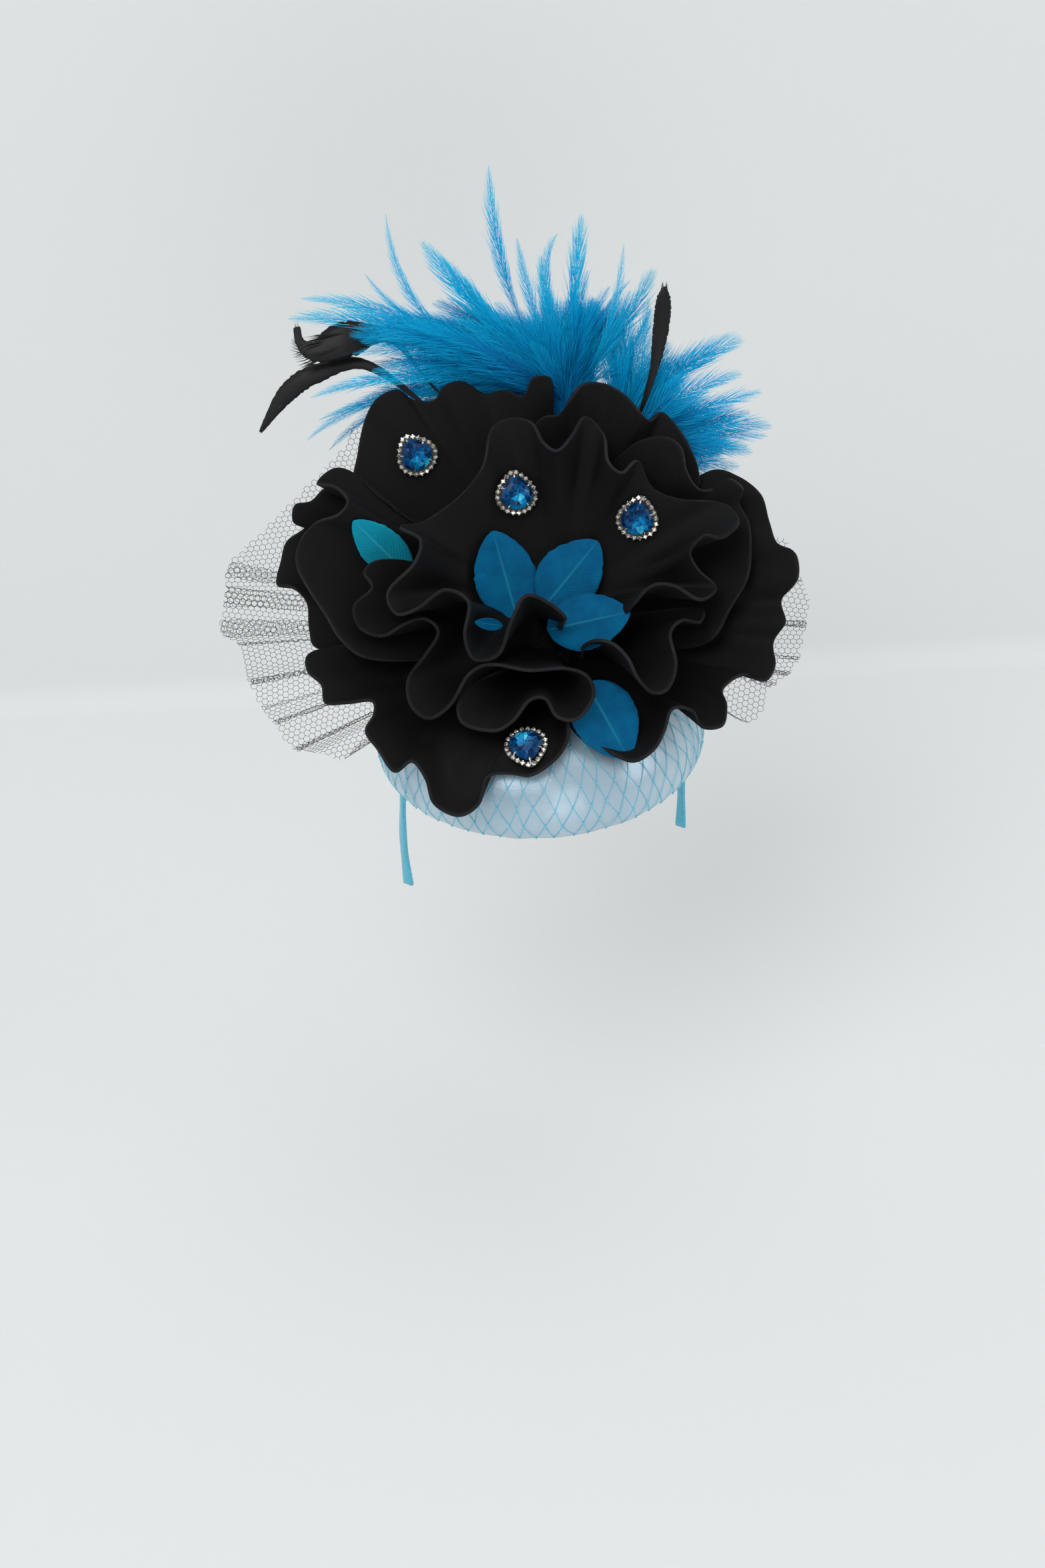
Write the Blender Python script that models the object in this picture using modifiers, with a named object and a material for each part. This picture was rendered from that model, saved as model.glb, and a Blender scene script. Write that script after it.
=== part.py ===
"""A fascinator: a puffed satin base on a narrow headband, a big ruffled foam flower, jewels and feathers.

The origin is the middle of the base's lower rim, where it sits on the head. +Z is up and the flower
faces -Y, tilted back. Tables are in millimetres, in the flower's own frame: across to the right, up
along its face, and out towards the front. The rims are measured from the flower's middle.
"""

import math

import bmesh
import bpy
import numpy as np
from mathutils import Matrix, Vector
from mathutils.bvhtree import BVHTree

MM = 0.001
GAP = 0.3

# The flower's frame: how far it tilts back and leans, and where its middle is above the base.
# Its tables are drawn as an eye sees them from this far, at the true size this far out.
FACE_TILT = math.radians(33)
FACE_LEAN = math.radians(3)
FLOWER_MIDDLE = (8.0, 66.0)
EYE_DISTANCE = 1050.0
TRUE_SIZE_OUT = 31.0

# The base: radius and height of its outer skin, from the crown down to the rim
BASE_PROFILE = (
    (0.0, 50.0), (34.0, 49.6), (52.0, 47.0), (65.0, 42.0), (75.0, 34.0),
    (81.0, 24.0), (82.5, 14.0), (81.5, 6.0), (78.0, 0.0),
)
BASE_WALL = 3.0
BASE_STEPS = 32

# The headband
BAND_WIDTH = 6.0
BAND_THICKNESS = 2.0
BAND_HALF_SPAN = 72.0
BAND_FOOT = -66.0
BAND_YAW = math.radians(15)

# The foam sheet, and the pads where the sheets are stacked on each other
FOAM = 1.6
STACK_FIRST = 25.2
STACK_PITCH = FOAM + 0.8
PAD_MARGIN = 1.06
DRAPE_CLEARANCE = 4.2
# How late a sheet rises from its pad, and how late its ruffles start: foam, and straight net pleats
RISE = {"foam": (2.2, 3.0), "net": (1.0, 1.0)}

# The jewels
JEWEL_LENGTH = 22.0
JEWEL_WIDTH = 18.5
JEWEL_PLATE = 1.4
CRYSTALS = 12
CRYSTAL_RADIUS = 1.4
CRYSTAL_FACETS = 8
STONE_SCALE = 0.66
STONE_HEIGHT = 4.2
STONE_FACETS = 12
# The stone's outline at its foot, girdle, crown and table: share of its width, share of its height
STONE_RINGS = ((0.72, 0.0), (1.0, 0.4), (0.86, 0.72), (0.58, 1.0))

LEAF_THICKNESS = 1.0
LEAF_CUP = 1.2
NET_THICKNESS = 1.0

# Every rim below has a row for each crest or dip of its ruffles: across, up, out.
# They run anticlockwise, and close round the pad where nothing of them shows.
RIM_BACK_LEFT = (
    (13, 60, 34), (8, 84, 34), (-3, 101, 36), (-3, 117, 39), (-12, 118, 43),
    (-17, 109, 41), (-26, 112, 37), (-36, 110, 34), (-47, 116, 38), (-56, 114, 40), (-61, 107, 36),
    (-72, 107, 34), (-80, 112, 38), (-90, 107, 39), (-96, 95, 36), (-99, 80, 37), (-101, 66, 38),
    (-95, 50, 37), (-80, 42, 35), (-52, 28, 32), (-28, 12, 30),
)
RIM_RIGHT = (
    (3, -27, 35), (5, -50, 70), (12, -60, 80), (27, -68, 84), (38, -72, 87),
    (48, -66, 84), (53, -57, 78), (57, -46, 72), (67, -47, 74), (72, -55, 80), (82, -54, 80),
    (84, -44, 70), (82, -36, 62), (92, -29, 56), (103, -32, 60), (108, -24, 57), (107, -13, 50),
    (113, -3, 54), (111, 8, 49), (119, 18, 57), (118, 31, 55), (109, 36, 47), (105, 47, 43),
    (101, 60, 47), (90, 69, 43), (76, 72, 40), (56, 58, 36), (34, 32, 33),
)
RIM_BACK_TOP = (
    (26, 14, 37), (52, 42, 41), (69, 62, 44), (70, 72, 46), (66, 83, 51), (60, 93, 47),
    (52, 101, 45), (46, 97, 50), (41, 101, 55), (34, 109, 51), (24, 115, 47), (13, 115, 52),
    (6, 107, 57), (1, 100, 53), (-8, 98, 48), (-14, 86, 43), (-14, 58, 38), (-9, 28, 35),
)
RIM_MID_RIGHT = (
    (28, -12, 38), (52, -16, 44), (70, -15, 51), (79, -9, 57), (86, 4, 55), (94, 18, 58),
    (96, 32, 56), (95, 46, 52), (90, 56, 56), (92, 63, 61), (85, 68, 60), (78, 63, 56),
    (70, 63, 56), (64, 72, 60), (61, 84, 62), (51, 89, 58), (36, 84, 53), (20, 66, 46),
    (6, 36, 40),
)
RIM_LEFT_OUTER = (
    (-22, 18, 40), (-54, 40, 42), (-90, 56, 46), (-112, 64, 49), (-122, 57, 52),
    (-130, 55, 53), (-131, 47, 51), (-125, 44, 48), (-134, 37, 47), (-137, 27, 49), (-139, 16, 53),
    (-131, 14, 57), (-124, 6, 54), (-123, -6, 50), (-119, -16, 51), (-98, -18, 46),
    (-60, -14, 42), (-28, -8, 40),
)
RIM_FRONT_LOW = (
    (-26, -8, 43), (-62, -10, 47), (-98, -13, 52), (-122, -18, 56), (-124, -27, 60), (-117, -34, 63),
    (-115, -43, 68), (-104, -43, 68), (-92, -42, 71), (-91, -49, 76), (-95, -57, 80), (-89, -66, 82),
    (-81, -77, 85), (-72, -72, 84), (-65, -81, 88), (-61, -93, 90), (-49, -99, 92),
    (-39, -93, 90), (-35, -80, 86), (-24, -78, 88), (-13, -79, 91), (-1, -71, 91), (5, -61, 88),
    (5, -50, 80), (4, -35, 54), (5, -22, 43),
)
RIM_LEFT = (
    (-34, 18, 46), (-62, 40, 49), (-88, 58, 54), (-101, 71, 56), (-111, 73, 58), (-119, 66, 62),
    (-110, 64, 67), (-104, 57, 69), (-109, 50, 67), (-120, 46, 63), (-128, 36, 61), (-129, 25, 63),
    (-123, 13, 67), (-115, 1, 69), (-107, -12, 71), (-94, -21, 70), (-66, -22, 60), (-34, -16, 49),
)
RIM_FRONT_RIGHT = (
    (9, -18, 51), (12, -21, 62), (13, -15, 76), (20, -12, 83), (28, -14, 85), (35, -21, 85),
    (40, -31, 85), (47, -38, 87), (55, -36, 85), (59, -24, 81), (56, -9, 75), (62, -2, 70),
    (71, -3, 66), (70, 4, 60), (38, 2, 52),
)
RIM_FRONT_MID = (
    (-40, 14, 54), (-68, 26, 62), (-88, 28, 68), (-96, 22, 72), (-92, 14, 74), (-101, 5, 74),
    (-98, -6, 74), (-87, -10, 75), (-76, -4, 76), (-66, -1, 76), (-59, -8, 77), (-66, -20, 78),
    (-74, -31, 80), (-73, -44, 83), (-64, -51, 86), (-53, -44, 88), (-44, -29, 88), (-33, -24, 87),
    (-14, -27, 87), (4, -26, 86), (15, -30, 87), (18, -40, 89), (10, -51, 92), (0, -50, 92),
    (-6, -41, 90), (-14, -42, 90), (-22, -52, 93), (-32, -57, 94), (-48, -52, 92), (-46, -36, 80),
    (-20, -24, 58),
)
RIM_CENTRE = (
    (6, -6, 60), (20, -2, 62), (32, -1, 68), (38, 6, 79), (47, 15, 84), (58, 15, 80), (71, 8, 73),
    (79, 14, 66), (70, 23, 68), (66, 32, 75), (73, 40, 81), (82, 39, 79), (90, 47, 71),
    (82, 56, 64), (60, 58, 63), (47, 64, 62), (40, 77, 67), (32, 71, 73), (25, 77, 71),
    (23, 90, 64), (14, 99, 64), (7, 89, 71), (0, 82, 74), (-7, 86, 71), (-13, 96, 64),
    (-24, 98, 59), (-33, 92, 60), (-37, 74, 63), (-49, 59, 63), (-66, 47, 65), (-78, 44, 73),
    (-68, 38, 82), (-71, 26, 86), (-84, 12, 84), (-80, 1, 83), (-69, 4, 87), (-56, 13, 91),
    (-44, 7, 91), (-46, -10, 86), (-41, -22, 85), (-29, -19, 89), (-23, -3, 93), (-16, 10, 92),
    (-5, 7, 88), (4, -1, 82), (0, -6, 68),
)
# The net fans have a row for each edge of a pleat
RIM_NET_RIGHT = (
    (50, -30, 34), (94, -53, 29), (106, -36, 32), (112, -32, 25), (119, -24, 31),
    (121, -18, 24), (124, -4, 31), (125, 9, 24), (118, 24, 31), (108, 40, 26), (60, 26, 25),
)
RIM_NET_LEFT = (
    (-40, 42, 28), (-96, 94, 26), (-106, 84, 21), (-116, 73, 27), (-134, 55, 21), (-151, 38, 27),
    (-163, 26, 21), (-165, 10, 28), (-167, -8, 22), (-159, -14, 29), (-156, -24, 22), (-153, -33, 30),
    (-147, -45, 24), (-141, -53, 32), (-131, -66, 27), (-118, -68, 42), (-106, -71, 46), (-94, -59, 60),
    (-50, -30, 44),
)
# Pads: middle and radii
PAD = ((0.0, -4.0), (10.0, 12.0))
PAD_RIGHT_SIDE = ((4.0, -6.0), (6.0, 8.0))
PAD_LEFT_SIDE = ((-5.0, -4.0), (5.0, 9.0))
PAD_CENTRE = ((0.0, 5.0), (9.0, 9.0))
# Sheets from the back of the stack to the front:
# name, rim, pad, place over the base, rings of the loft, samples to each row, look
SHEETS = (
    ("net_fan_right", RIM_NET_RIGHT, PAD, 0, (0.5,), 1, "net"),
    ("net_fan_left", RIM_NET_LEFT, PAD, 0.8, (0.4, 0.7), 1, "net"),
    ("petal_back_left", RIM_BACK_LEFT, PAD, 0, (0.6,), 1.7, "foam"),
    ("petal_right", RIM_RIGHT, PAD, 0, (0.5, 0.8), 1.5, "foam"),
    ("petal_back_top", RIM_BACK_TOP, PAD, 1, (0.6,), 1.7, "foam"),
    ("petal_mid_right", RIM_MID_RIGHT, PAD, 1, (0.6,), 1.7, "foam"),
    ("petal_left_outer", RIM_LEFT_OUTER, PAD, 1.7, (0.6,), 1.7, "foam"),
    ("petal_front_low", RIM_FRONT_LOW, PAD, 2, (0.5, 0.8), 1.5, "foam"),
    ("petal_left", RIM_LEFT, PAD, 3, (0.5, 0.8), 1.5, "foam"),
    ("petal_front_right", RIM_FRONT_RIGHT, PAD_RIGHT_SIDE, 4, (0.5, 0.8), 1.5, "foam"),
    ("petal_front_mid", RIM_FRONT_MID, PAD_LEFT_SIDE, 5, (0.5, 0.8), 1.5, "foam"),
    ("petal_centre", RIM_CENTRE, PAD_CENTRE, 6, (0.5, 0.8), 1.5, "foam"),
)

# The hackle feathers: the tip of each lock, anticlockwise from the right
PLUME_HEAD = (0.0, 52.0, 20.0)
PLUME_HEAD_HALF = 10.4
PLUME_WAIST = 0.28
PLUME_WAIST_HALF = 1.8
PLUME_TIP_HALF = 0.7
PLUME_TIPS = (
    (70, 62, 12), (90, 75, 10), (93, 84, 10), (106, 94, 12), (101, 111, 16), (91, 136, 24),
    (70, 140, 26), (51, 172, 38), (35, 167, 38), (22, 189, 46), (12, 198, 50), (0, 188, 46),
    (-19, 188, 48), (-34, 223, 62), (-48, 178, 44), (-67, 185, 46), (-84, 200, 52), (-95, 170, 38),
    (-112, 160, 34), (-133, 148, 30), (-118, 122, 20), (-124, 98, 13), (-112, 82, 11), (-84, 74, 12),
)
PLUME_VALLEY = 0.66
PLUME_BEND = 5.0

# The black feathers: the middle line of each with its width (across, up, out, width)
BLACK_FEATHERS = (
    ((-21.3, 76.4, 24, 2), (-60, 112, 35, 4), (-84, 138, 43, 14), (-104, 140, 45, 18), (-120, 132, 43, 8),
     (-128, 136, 42, 5), (-128, 144, 40, 3)),
    ((-26, 66, 24.0, 2), (-58, 98, 31.4, 3), (-94, 124, 34.6, 8), (-121, 121, 32, 11), (-134, 111, 29, 12),
     (-147, 91, 25, 2)),
    ((18, 70, 22.3, 2), (38, 96, 29, 4), (47, 119, 38, 10), (51, 142, 45, 9), (55, 161, 51, 2)),
)
FEATHER_THICKNESS = 1.2

# Jewels: the petal that each is sewn to, its middle and the way its point looks (across, up)
JEWELS = (
    ("petal_back_left", (-70, 80), (-0.55, 0.83)),
    ("petal_centre", (-21, 61), (-0.15, 1.0)),
    ("petal_centre", (40, 49), (0.2, 1.0)),
    ("petal_front_low", (-15, -66), (0.25, -1.0)),
)
# Leaf pads: petal, root, tip (across, up), width, layers of pads below it
LEAVES = (
    ("petal_left", (-74, 23), (-101, 47), 17, 0),
    ("petal_centre", (-16, 7), (-31, 42), 28, 0),
    ("petal_centre", (-2, 9), (20, 36), 28, 1),
    ("petal_centre", (7, 2), (36, 7), 24, 1.5),
    ("petal_centre", (-27, -2), (-40, -1), 6, 2),
    ("petal_right", (18, -34), (35, -69), 25, 0),
)


def face_point(across, up, out):
    """A point of the flower's frame, in metres, with across and up measured from the flower's middle."""
    scale = (EYE_DISTANCE - out) / (EYE_DISTANCE - TRUE_SIZE_OUT)
    seen_across = (across + FLOWER_MIDDLE[0]) * scale
    seen_up = (up + FLOWER_MIDDLE[1]) * scale
    x = seen_across * math.cos(FACE_LEAN) + seen_up * math.sin(FACE_LEAN)
    rise = seen_up * math.cos(FACE_LEAN) - seen_across * math.sin(FACE_LEAN)
    y = rise * math.sin(FACE_TILT) - out * math.cos(FACE_TILT)
    z = rise * math.cos(FACE_TILT) + out * math.sin(FACE_TILT)
    return Vector((x * MM, y * MM, z * MM))


FACE_OUT = Vector((0, -math.cos(FACE_TILT), math.sin(FACE_TILT)))
FACE_UP = (face_point(0, 1, 0) - face_point(0, 0, 0)).normalized()
FACE_ACROSS = (face_point(1, 0, 0) - face_point(0, 0, 0)).normalized()
EYE = FACE_OUT * EYE_DISTANCE * MM


def base_front(across, up):
    """How far out the base's skin reaches at this place of the flower's face, in millimetres."""
    radii, heights = zip(*BASE_PROFILE[::-1])
    for out in np.arange(120.0, 0.0, -1.0):
        point = face_point(across, up, out) / MM
        if point.z > heights[-1]:
            continue
        reach = float(np.interp(point.z, heights, radii))
        if math.hypot(point.x, point.y) < reach:
            return out
    return 0.0


def material(name, colour, roughness, metallic=0.0):
    made = bpy.data.materials.new(name)
    made.use_nodes = True
    shader = made.node_tree.nodes["Principled BSDF"]
    shader.inputs["Base Color"].default_value = (*colour, 1.0)
    shader.inputs["Roughness"].default_value = roughness
    shader.inputs["Metallic"].default_value = metallic
    return made


def add_object(name, mesh, look, collection):
    made = bpy.data.objects.new(name, mesh)
    made.data.materials.append(look)
    collection.objects.link(made)
    return made


def mesh_from(name, build, smooth=True):
    """A mesh filled by build(bm), with its faces turned outwards."""
    bm = bmesh.new()
    build(bm)
    bmesh.ops.recalc_face_normals(bm, faces=bm.faces)
    mesh = bpy.data.meshes.new(name)
    bm.to_mesh(mesh)
    bm.free()
    if smooth:
        mesh.shade_smooth()
    return mesh


def add_solidify(target, thickness, offset=0.0):
    wall = target.modifiers.new("thickness", "SOLIDIFY")
    wall.thickness = thickness * MM
    wall.offset = offset
    wall.use_even_offset = False


def finished_mesh(target):
    """The object's mesh with its modifiers, for seating pieces on it and for joining it to others."""
    graph = bpy.context.evaluated_depsgraph_get()
    graph.update()
    return bpy.data.meshes.new_from_object(target.evaluated_get(graph))


def union(name, pieces, look, collection):
    """Joins overlapping closed meshes into one body, and takes the pieces away."""
    body = pieces[0]
    for other in pieces[1:]:
        join = body.modifiers.new("join", "BOOLEAN")
        join.operation = "UNION"
        join.solver = "EXACT"
        join.object = other
    mesh = finished_mesh(body)
    for piece in pieces:
        bpy.data.objects.remove(piece)
    mesh.materials.clear()
    return add_object(name, mesh, look, collection)


def closed_spline(rows, samples):
    """Points along a smooth closed curve through the rows, the same number between each two rows."""
    points = np.array(rows, float)
    count = len(points)
    steps = round(samples * count)
    curve = []
    for index in range(steps):
        start, part = divmod(index * count / steps, 1.0)
        start = int(start)
        p0, p1, p2, p3 = (points[(start + shift) % count] for shift in (-1, 0, 1, 2))
        curve.append(
            p1
            + 0.5 * part * (p2 - p0)
            + 0.5 * part**2 * (2 * p0 - 5 * p1 + 4 * p2 - p3)
            + 0.5 * part**3 * (3 * (p1 - p2) + p3 - p0)
        )
    return np.array(curve)


def smoothed(curve, reach):
    """The closed curve averaged over reach points each way, which takes its ruffles out."""
    total = sum(np.roll(curve, shift, axis=0) for shift in range(-reach, reach + 1))
    return total / (2 * reach + 1)


def whole_rim(rows, pad, stack_out):
    """The rim's rows, closed round the pad from the last row back to the first."""
    (pad_across, pad_up), (radius_across, radius_up) = pad
    first, last = (math.atan2(row[1] - pad_up, row[0] - pad_across) for row in (rows[0], rows[-1]))
    turn = (first - last) % (2 * math.pi)
    steps = max(1, round(turn / 0.9))
    closing = []
    for index in range(steps):
        bearing = last + turn * (index + 0.5) / steps
        across = pad_across + PAD_MARGIN * radius_across * math.cos(bearing)
        closing.append((across, pad_up + PAD_MARGIN * radius_up * math.sin(bearing), stack_out))
    return (*rows, *closing)


def sheet_mesh(name, rim_rows, stack_out, pad, drape, rings, samples, rise):
    """A sheet from its flat pad to its ruffled rim, lifted clear of the base where it hangs over it."""
    bowl, fade = rise
    rim = closed_spline(rim_rows, samples)
    calm = smoothed(rim, round(3 * samples)) if fade > 1 else rim
    (pad_across, pad_up), (radius_across, radius_up) = pad
    bearing = np.arctan2(calm[:, 1] - pad_up, calm[:, 0] - pad_across)
    pad_edge = np.stack(
        [
            pad_across + radius_across * np.cos(bearing),
            pad_up + radius_up * np.sin(bearing),
            np.full(len(rim), stack_out),
        ],
        axis=1,
    )
    levels = [pad_edge]
    for v in (*rings, 1.0):
        level = pad_edge + v * (calm - pad_edge) + v**fade * (rim - calm)
        level[:, 2] = stack_out + v**bowl * (calm[:, 2] - stack_out) + v**fade * (rim - calm)[:, 2]
        clear = np.array([base_front(a, u) for a, u, _ in level])
        lifted = clear + DRAPE_CLEARANCE + STACK_PITCH * drape
        level[:, 2] = np.maximum(level[:, 2], np.where(clear > 0, lifted, 0))
        levels.append(level)

    def build(bm):
        middle = bm.verts.new(face_point(pad_across, pad_up, stack_out))
        loops = [[bm.verts.new(face_point(*p)) for p in level] for level in levels]
        count = len(rim)
        for i in range(count):
            j = (i + 1) % count
            bm.faces.new((middle, loops[0][i], loops[0][j]))
            for inner, outer in zip(loops, loops[1:]):
                bm.faces.new((inner[i], outer[i], outer[j], inner[j]))

    return mesh_from(name, build)


def seat(tree, across, up, start=72.0):
    """Where a line into the flower at this place meets a petal, and the surface's direction there."""
    from_point = face_point(across, up, start)
    hit, normal, _, _ = tree.ray_cast(from_point, (from_point - EYE).normalized())
    if hit is None:
        return None, None
    if normal.dot(FACE_OUT) < 0:
        normal = -normal
    return hit, normal


def petal_tree(petals, name):
    bm = bmesh.new()
    bm.from_mesh(finished_mesh(petals[name]))
    tree = BVHTree.FromBMesh(bm)
    bm.free()
    return tree


def pear_outline(length, width, count):
    """A pear shape about its middle, with its point along +Y."""
    points = []
    for index in range(count):
        angle = 2 * math.pi * index / count
        taper = 1.0 - 0.30 * math.cos(angle) - 0.12 * math.cos(2 * angle)
        points.append((0.5 * width * math.sin(angle) * taper, 0.5 * length * math.cos(angle)))
    return points


def frustum_rings(bm, rings):
    """A closed body through rings of points, bottom ring first."""
    loops = [[bm.verts.new(p) for p in ring] for ring in rings]
    count = len(loops[0])
    for lower, upper in zip(loops, loops[1:]):
        for i in range(count):
            j = (i + 1) % count
            bm.faces.new((lower[i], lower[j], upper[j], upper[i]))
    bm.faces.new(loops[0][::-1])
    bm.faces.new(loops[-1])


def jewel_frame(tree, place, point_way, start):
    """A jewel's own frame: its origin on the petal, +Z out of the surface, +Y along the point."""
    spot, normal = seat(tree, *place, start)
    for step in ((6, 0), (-6, 0), (0, 6), (0, -6)):
        near = seat(tree, place[0] + step[0], place[1] + step[1], start)[1]
        normal = normal + (near if near is not None else FACE_OUT)
    normal.normalize()
    along = (FACE_ACROSS * point_way[0] + FACE_UP * point_way[1]).normalized()
    along = (along - normal * along.dot(normal)).normalized()
    side = along.cross(normal)
    frame = Matrix((side, along, normal)).transposed().to_4x4()
    frame.translation = spot
    return frame


def lift_clear(tree, frame, outline, gap):
    """The height above the frame's plane at which the outline clears the petal by the gap."""
    highest = 0.0
    normal = frame.to_3x3() @ Vector((0, 0, 1))
    for scale in (0.0, 0.5, 1.0):
        for x, y in outline:
            above = frame @ Vector((x * scale * MM, y * scale * MM, 12 * MM))
            hit = tree.ray_cast(above, -normal)[0]
            if hit is not None:
                highest = max(highest, (frame.inverted() @ hit).z / MM)
    return highest + gap


def build_jewel(number, petals, collection, looks):
    petal, place, point_way = JEWELS[number - 1]
    tree = petal_tree(petals, petal)
    frame = jewel_frame(tree, place, point_way, 110.0 if petal == "petal_front_low" else 85.0)
    foot = lift_clear(tree, frame, pear_outline(JEWEL_LENGTH, JEWEL_WIDTH, 16), GAP)

    def plate(bm):
        outline = pear_outline(JEWEL_LENGTH - 1.2, JEWEL_WIDTH - 1.2, 16)
        frustum_rings(
            bm,
            [
                [Vector((x * MM, y * MM, foot * MM)) for x, y in outline],
                [Vector((x * MM, y * MM, (foot + JEWEL_PLATE) * MM)) for x, y in outline],
            ],
        )

    def crystals(bm):
        ring = pear_outline(JEWEL_LENGTH - 2.6, JEWEL_WIDTH - 2.6, 8 * CRYSTALS)
        lengths = np.cumsum([math.dist(ring[i - 1], ring[i]) for i in range(len(ring))])
        facet = 2 * math.pi / CRYSTAL_FACETS
        for index in range(CRYSTALS):
            x, y = ring[int(np.searchsorted(lengths, lengths[-1] * (index + 0.5) / CRYSTALS)) % len(ring)]
            rings = []
            for radius, height in ((1.0, 0.6), (0.55, 2.3)):
                rings.append(
                    [
                        Vector(
                            (
                                (x + CRYSTAL_RADIUS * radius * math.cos(facet * k)) * MM,
                                (y + CRYSTAL_RADIUS * radius * math.sin(facet * k)) * MM,
                                (foot + height) * MM,
                            )
                        )
                        for k in range(CRYSTAL_FACETS)
                    ]
                )
            frustum_rings(bm, rings)

    def stone(bm):
        floor = foot + JEWEL_PLATE + GAP
        rings = []
        for scale, height in STONE_RINGS:
            size = STONE_SCALE * scale
            outline = pear_outline(JEWEL_LENGTH * size, JEWEL_WIDTH * size, STONE_FACETS)
            rings.append([Vector((x * MM, y * MM, (floor + height * STONE_HEIGHT) * MM)) for x, y in outline])
        frustum_rings(bm, rings)

    label = f"jewel_{number}"
    backing = add_object(label + "_plate", mesh_from(label, plate, False), looks["setting"], collection)
    ring = add_object(label + "_ring", mesh_from(label, crystals, False), looks["setting"], collection)
    halo = union(label + "_halo", [backing, ring], looks["setting"], collection)
    halo.matrix_world = frame
    gem = add_object(label + "_stone", mesh_from(label, stone, False), looks["stone"], collection)
    gem.matrix_world = frame


def build_leaf(number, petals, collection, looks):
    """A leaf-shaped feather pad, cupped along its rib, lying just clear of its petal."""
    petal, root, tip, width, below = LEAVES[number - 1]
    tree = petal_tree(petals, petal)
    start = 110.0 if petal == "petal_right" else 80.0
    length = math.dist(root, tip)
    along = ((tip[0] - root[0]) / length, (tip[1] - root[1]) / length)
    side = (along[1], -along[0])
    grid = []
    for t in (0.0, 0.12, 0.35, 0.62, 0.86, 1.0):
        half = 0.5 * width * max(0.06, math.sin(math.pi * t**0.85) ** 0.62)
        row = []
        for s in (-1.0, 0.0, 1.0):
            across = root[0] + along[0] * length * t + side[0] * half * s
            up = root[1] + along[1] * length * t + side[1] * half * s
            spot, _ = seat(tree, across, up, start)
            row.append([across, up, None if spot is None else spot.dot(FACE_OUT) / MM, s, t])
        grid.append(row)
    known = [p for row in grid for p in row if p[2] is not None]
    terms = np.array([[1.0, p[0], p[1]] for p in known])
    plane = np.linalg.lstsq(terms, np.array([p[2] for p in known]), rcond=None)[0]
    spare = max(p[2] - float(np.dot(plane, (1.0, p[0], p[1]))) for p in known)
    lift = spare + 0.5 * LEAF_THICKNESS + GAP + below * (LEAF_THICKNESS + GAP)

    def build(bm):
        rows = []
        for row in grid:
            verts = []
            for a, u, _, s, t in row:
                out = float(np.dot(plane, (1.0, a, u))) + lift + LEAF_CUP * s * s * math.sin(math.pi * t)
                verts.append(bm.verts.new(face_point(a, u, out)))
            rows.append(verts)
        for lower, upper in zip(rows, rows[1:]):
            for i in range(len(lower) - 1):
                bm.faces.new((lower[i], lower[i + 1], upper[i + 1], upper[i]))

    name = f"feather_leaf_{number}"
    leaf = add_object(name, mesh_from(name, build), looks["leaf"], collection)
    add_solidify(leaf, LEAF_THICKNESS)


def build_base(collection, looks):
    def profile(bm):
        verts = [bm.verts.new((radius * MM, 0, height * MM)) for radius, height in BASE_PROFILE]
        for upper, lower in zip(verts, verts[1:]):
            bm.edges.new((upper, lower))

    base = add_object("base_dome", mesh_from("base_dome", profile, False), looks["satin"], collection)
    turn = base.modifiers.new("turn", "SCREW")
    turn.steps = BASE_STEPS
    turn.render_steps = BASE_STEPS
    turn.use_merge_vertices = True
    turn.merge_threshold = 0.0001
    add_solidify(base, BASE_WALL, -1.0)


def build_headband(collection, looks):
    """A flat band over the top of the head, inside the base, with its ends down both sides."""
    crown = BASE_PROFILE[0][1] - BASE_WALL - GAP - 0.5 * BAND_THICKNESS
    points = []
    for angle in np.radians(np.arange(0, 181, 12)):
        points.append((BAND_HALF_SPAN * math.cos(angle), crown * math.sin(angle) ** 0.8))
    feet = [
        (BAND_HALF_SPAN + 3.0, BAND_FOOT),
        (BAND_HALF_SPAN + 3.5, 0.6 * BAND_FOOT),
        (BAND_HALF_SPAN + 2.0, 0.25 * BAND_FOOT),
    ]
    route = feet + points + [(-x, z) for x, z in feet[::-1]]

    def build(bm):
        rows = []
        for x, z in route:
            edges = (-0.5 * BAND_WIDTH, 0.5 * BAND_WIDTH)
            rows.append([bm.verts.new((x * MM, y * MM, z * MM)) for y in edges])
        for lower, upper in zip(rows, rows[1:]):
            bm.faces.new((lower[0], lower[1], upper[1], upper[0]))

    band = add_object("headband", mesh_from("headband", build), looks["band"], collection)
    band.rotation_euler = (0, 0, BAND_YAW)
    add_solidify(band, BAND_THICKNESS)


def build_stem(collection, looks):
    """The plain block between the base's crown and the back of the stack of sheets."""
    back = STACK_FIRST - 0.5 * FOAM - GAP
    (_, pad_up), (radius_across, radius_up) = PAD
    low = face_point(0, pad_up - radius_up, back)
    high = face_point(0, pad_up + radius_up, back)
    foot = (BASE_PROFILE[0][1] + GAP) * MM
    side = [(low.y, foot), (low.y + 30 * MM, foot), (high.y + 14 * MM, high.z), (high.y, high.z)]
    side.append((low.y, low.z))
    half = radius_across * MM

    def build(bm):
        frustum_rings(bm, [[Vector((low.x + x, y, z)) for y, z in side] for x in (-half, half)])

    add_object("flower_stem", mesh_from("flower_stem", build, False), looks["foam"], collection)


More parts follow.
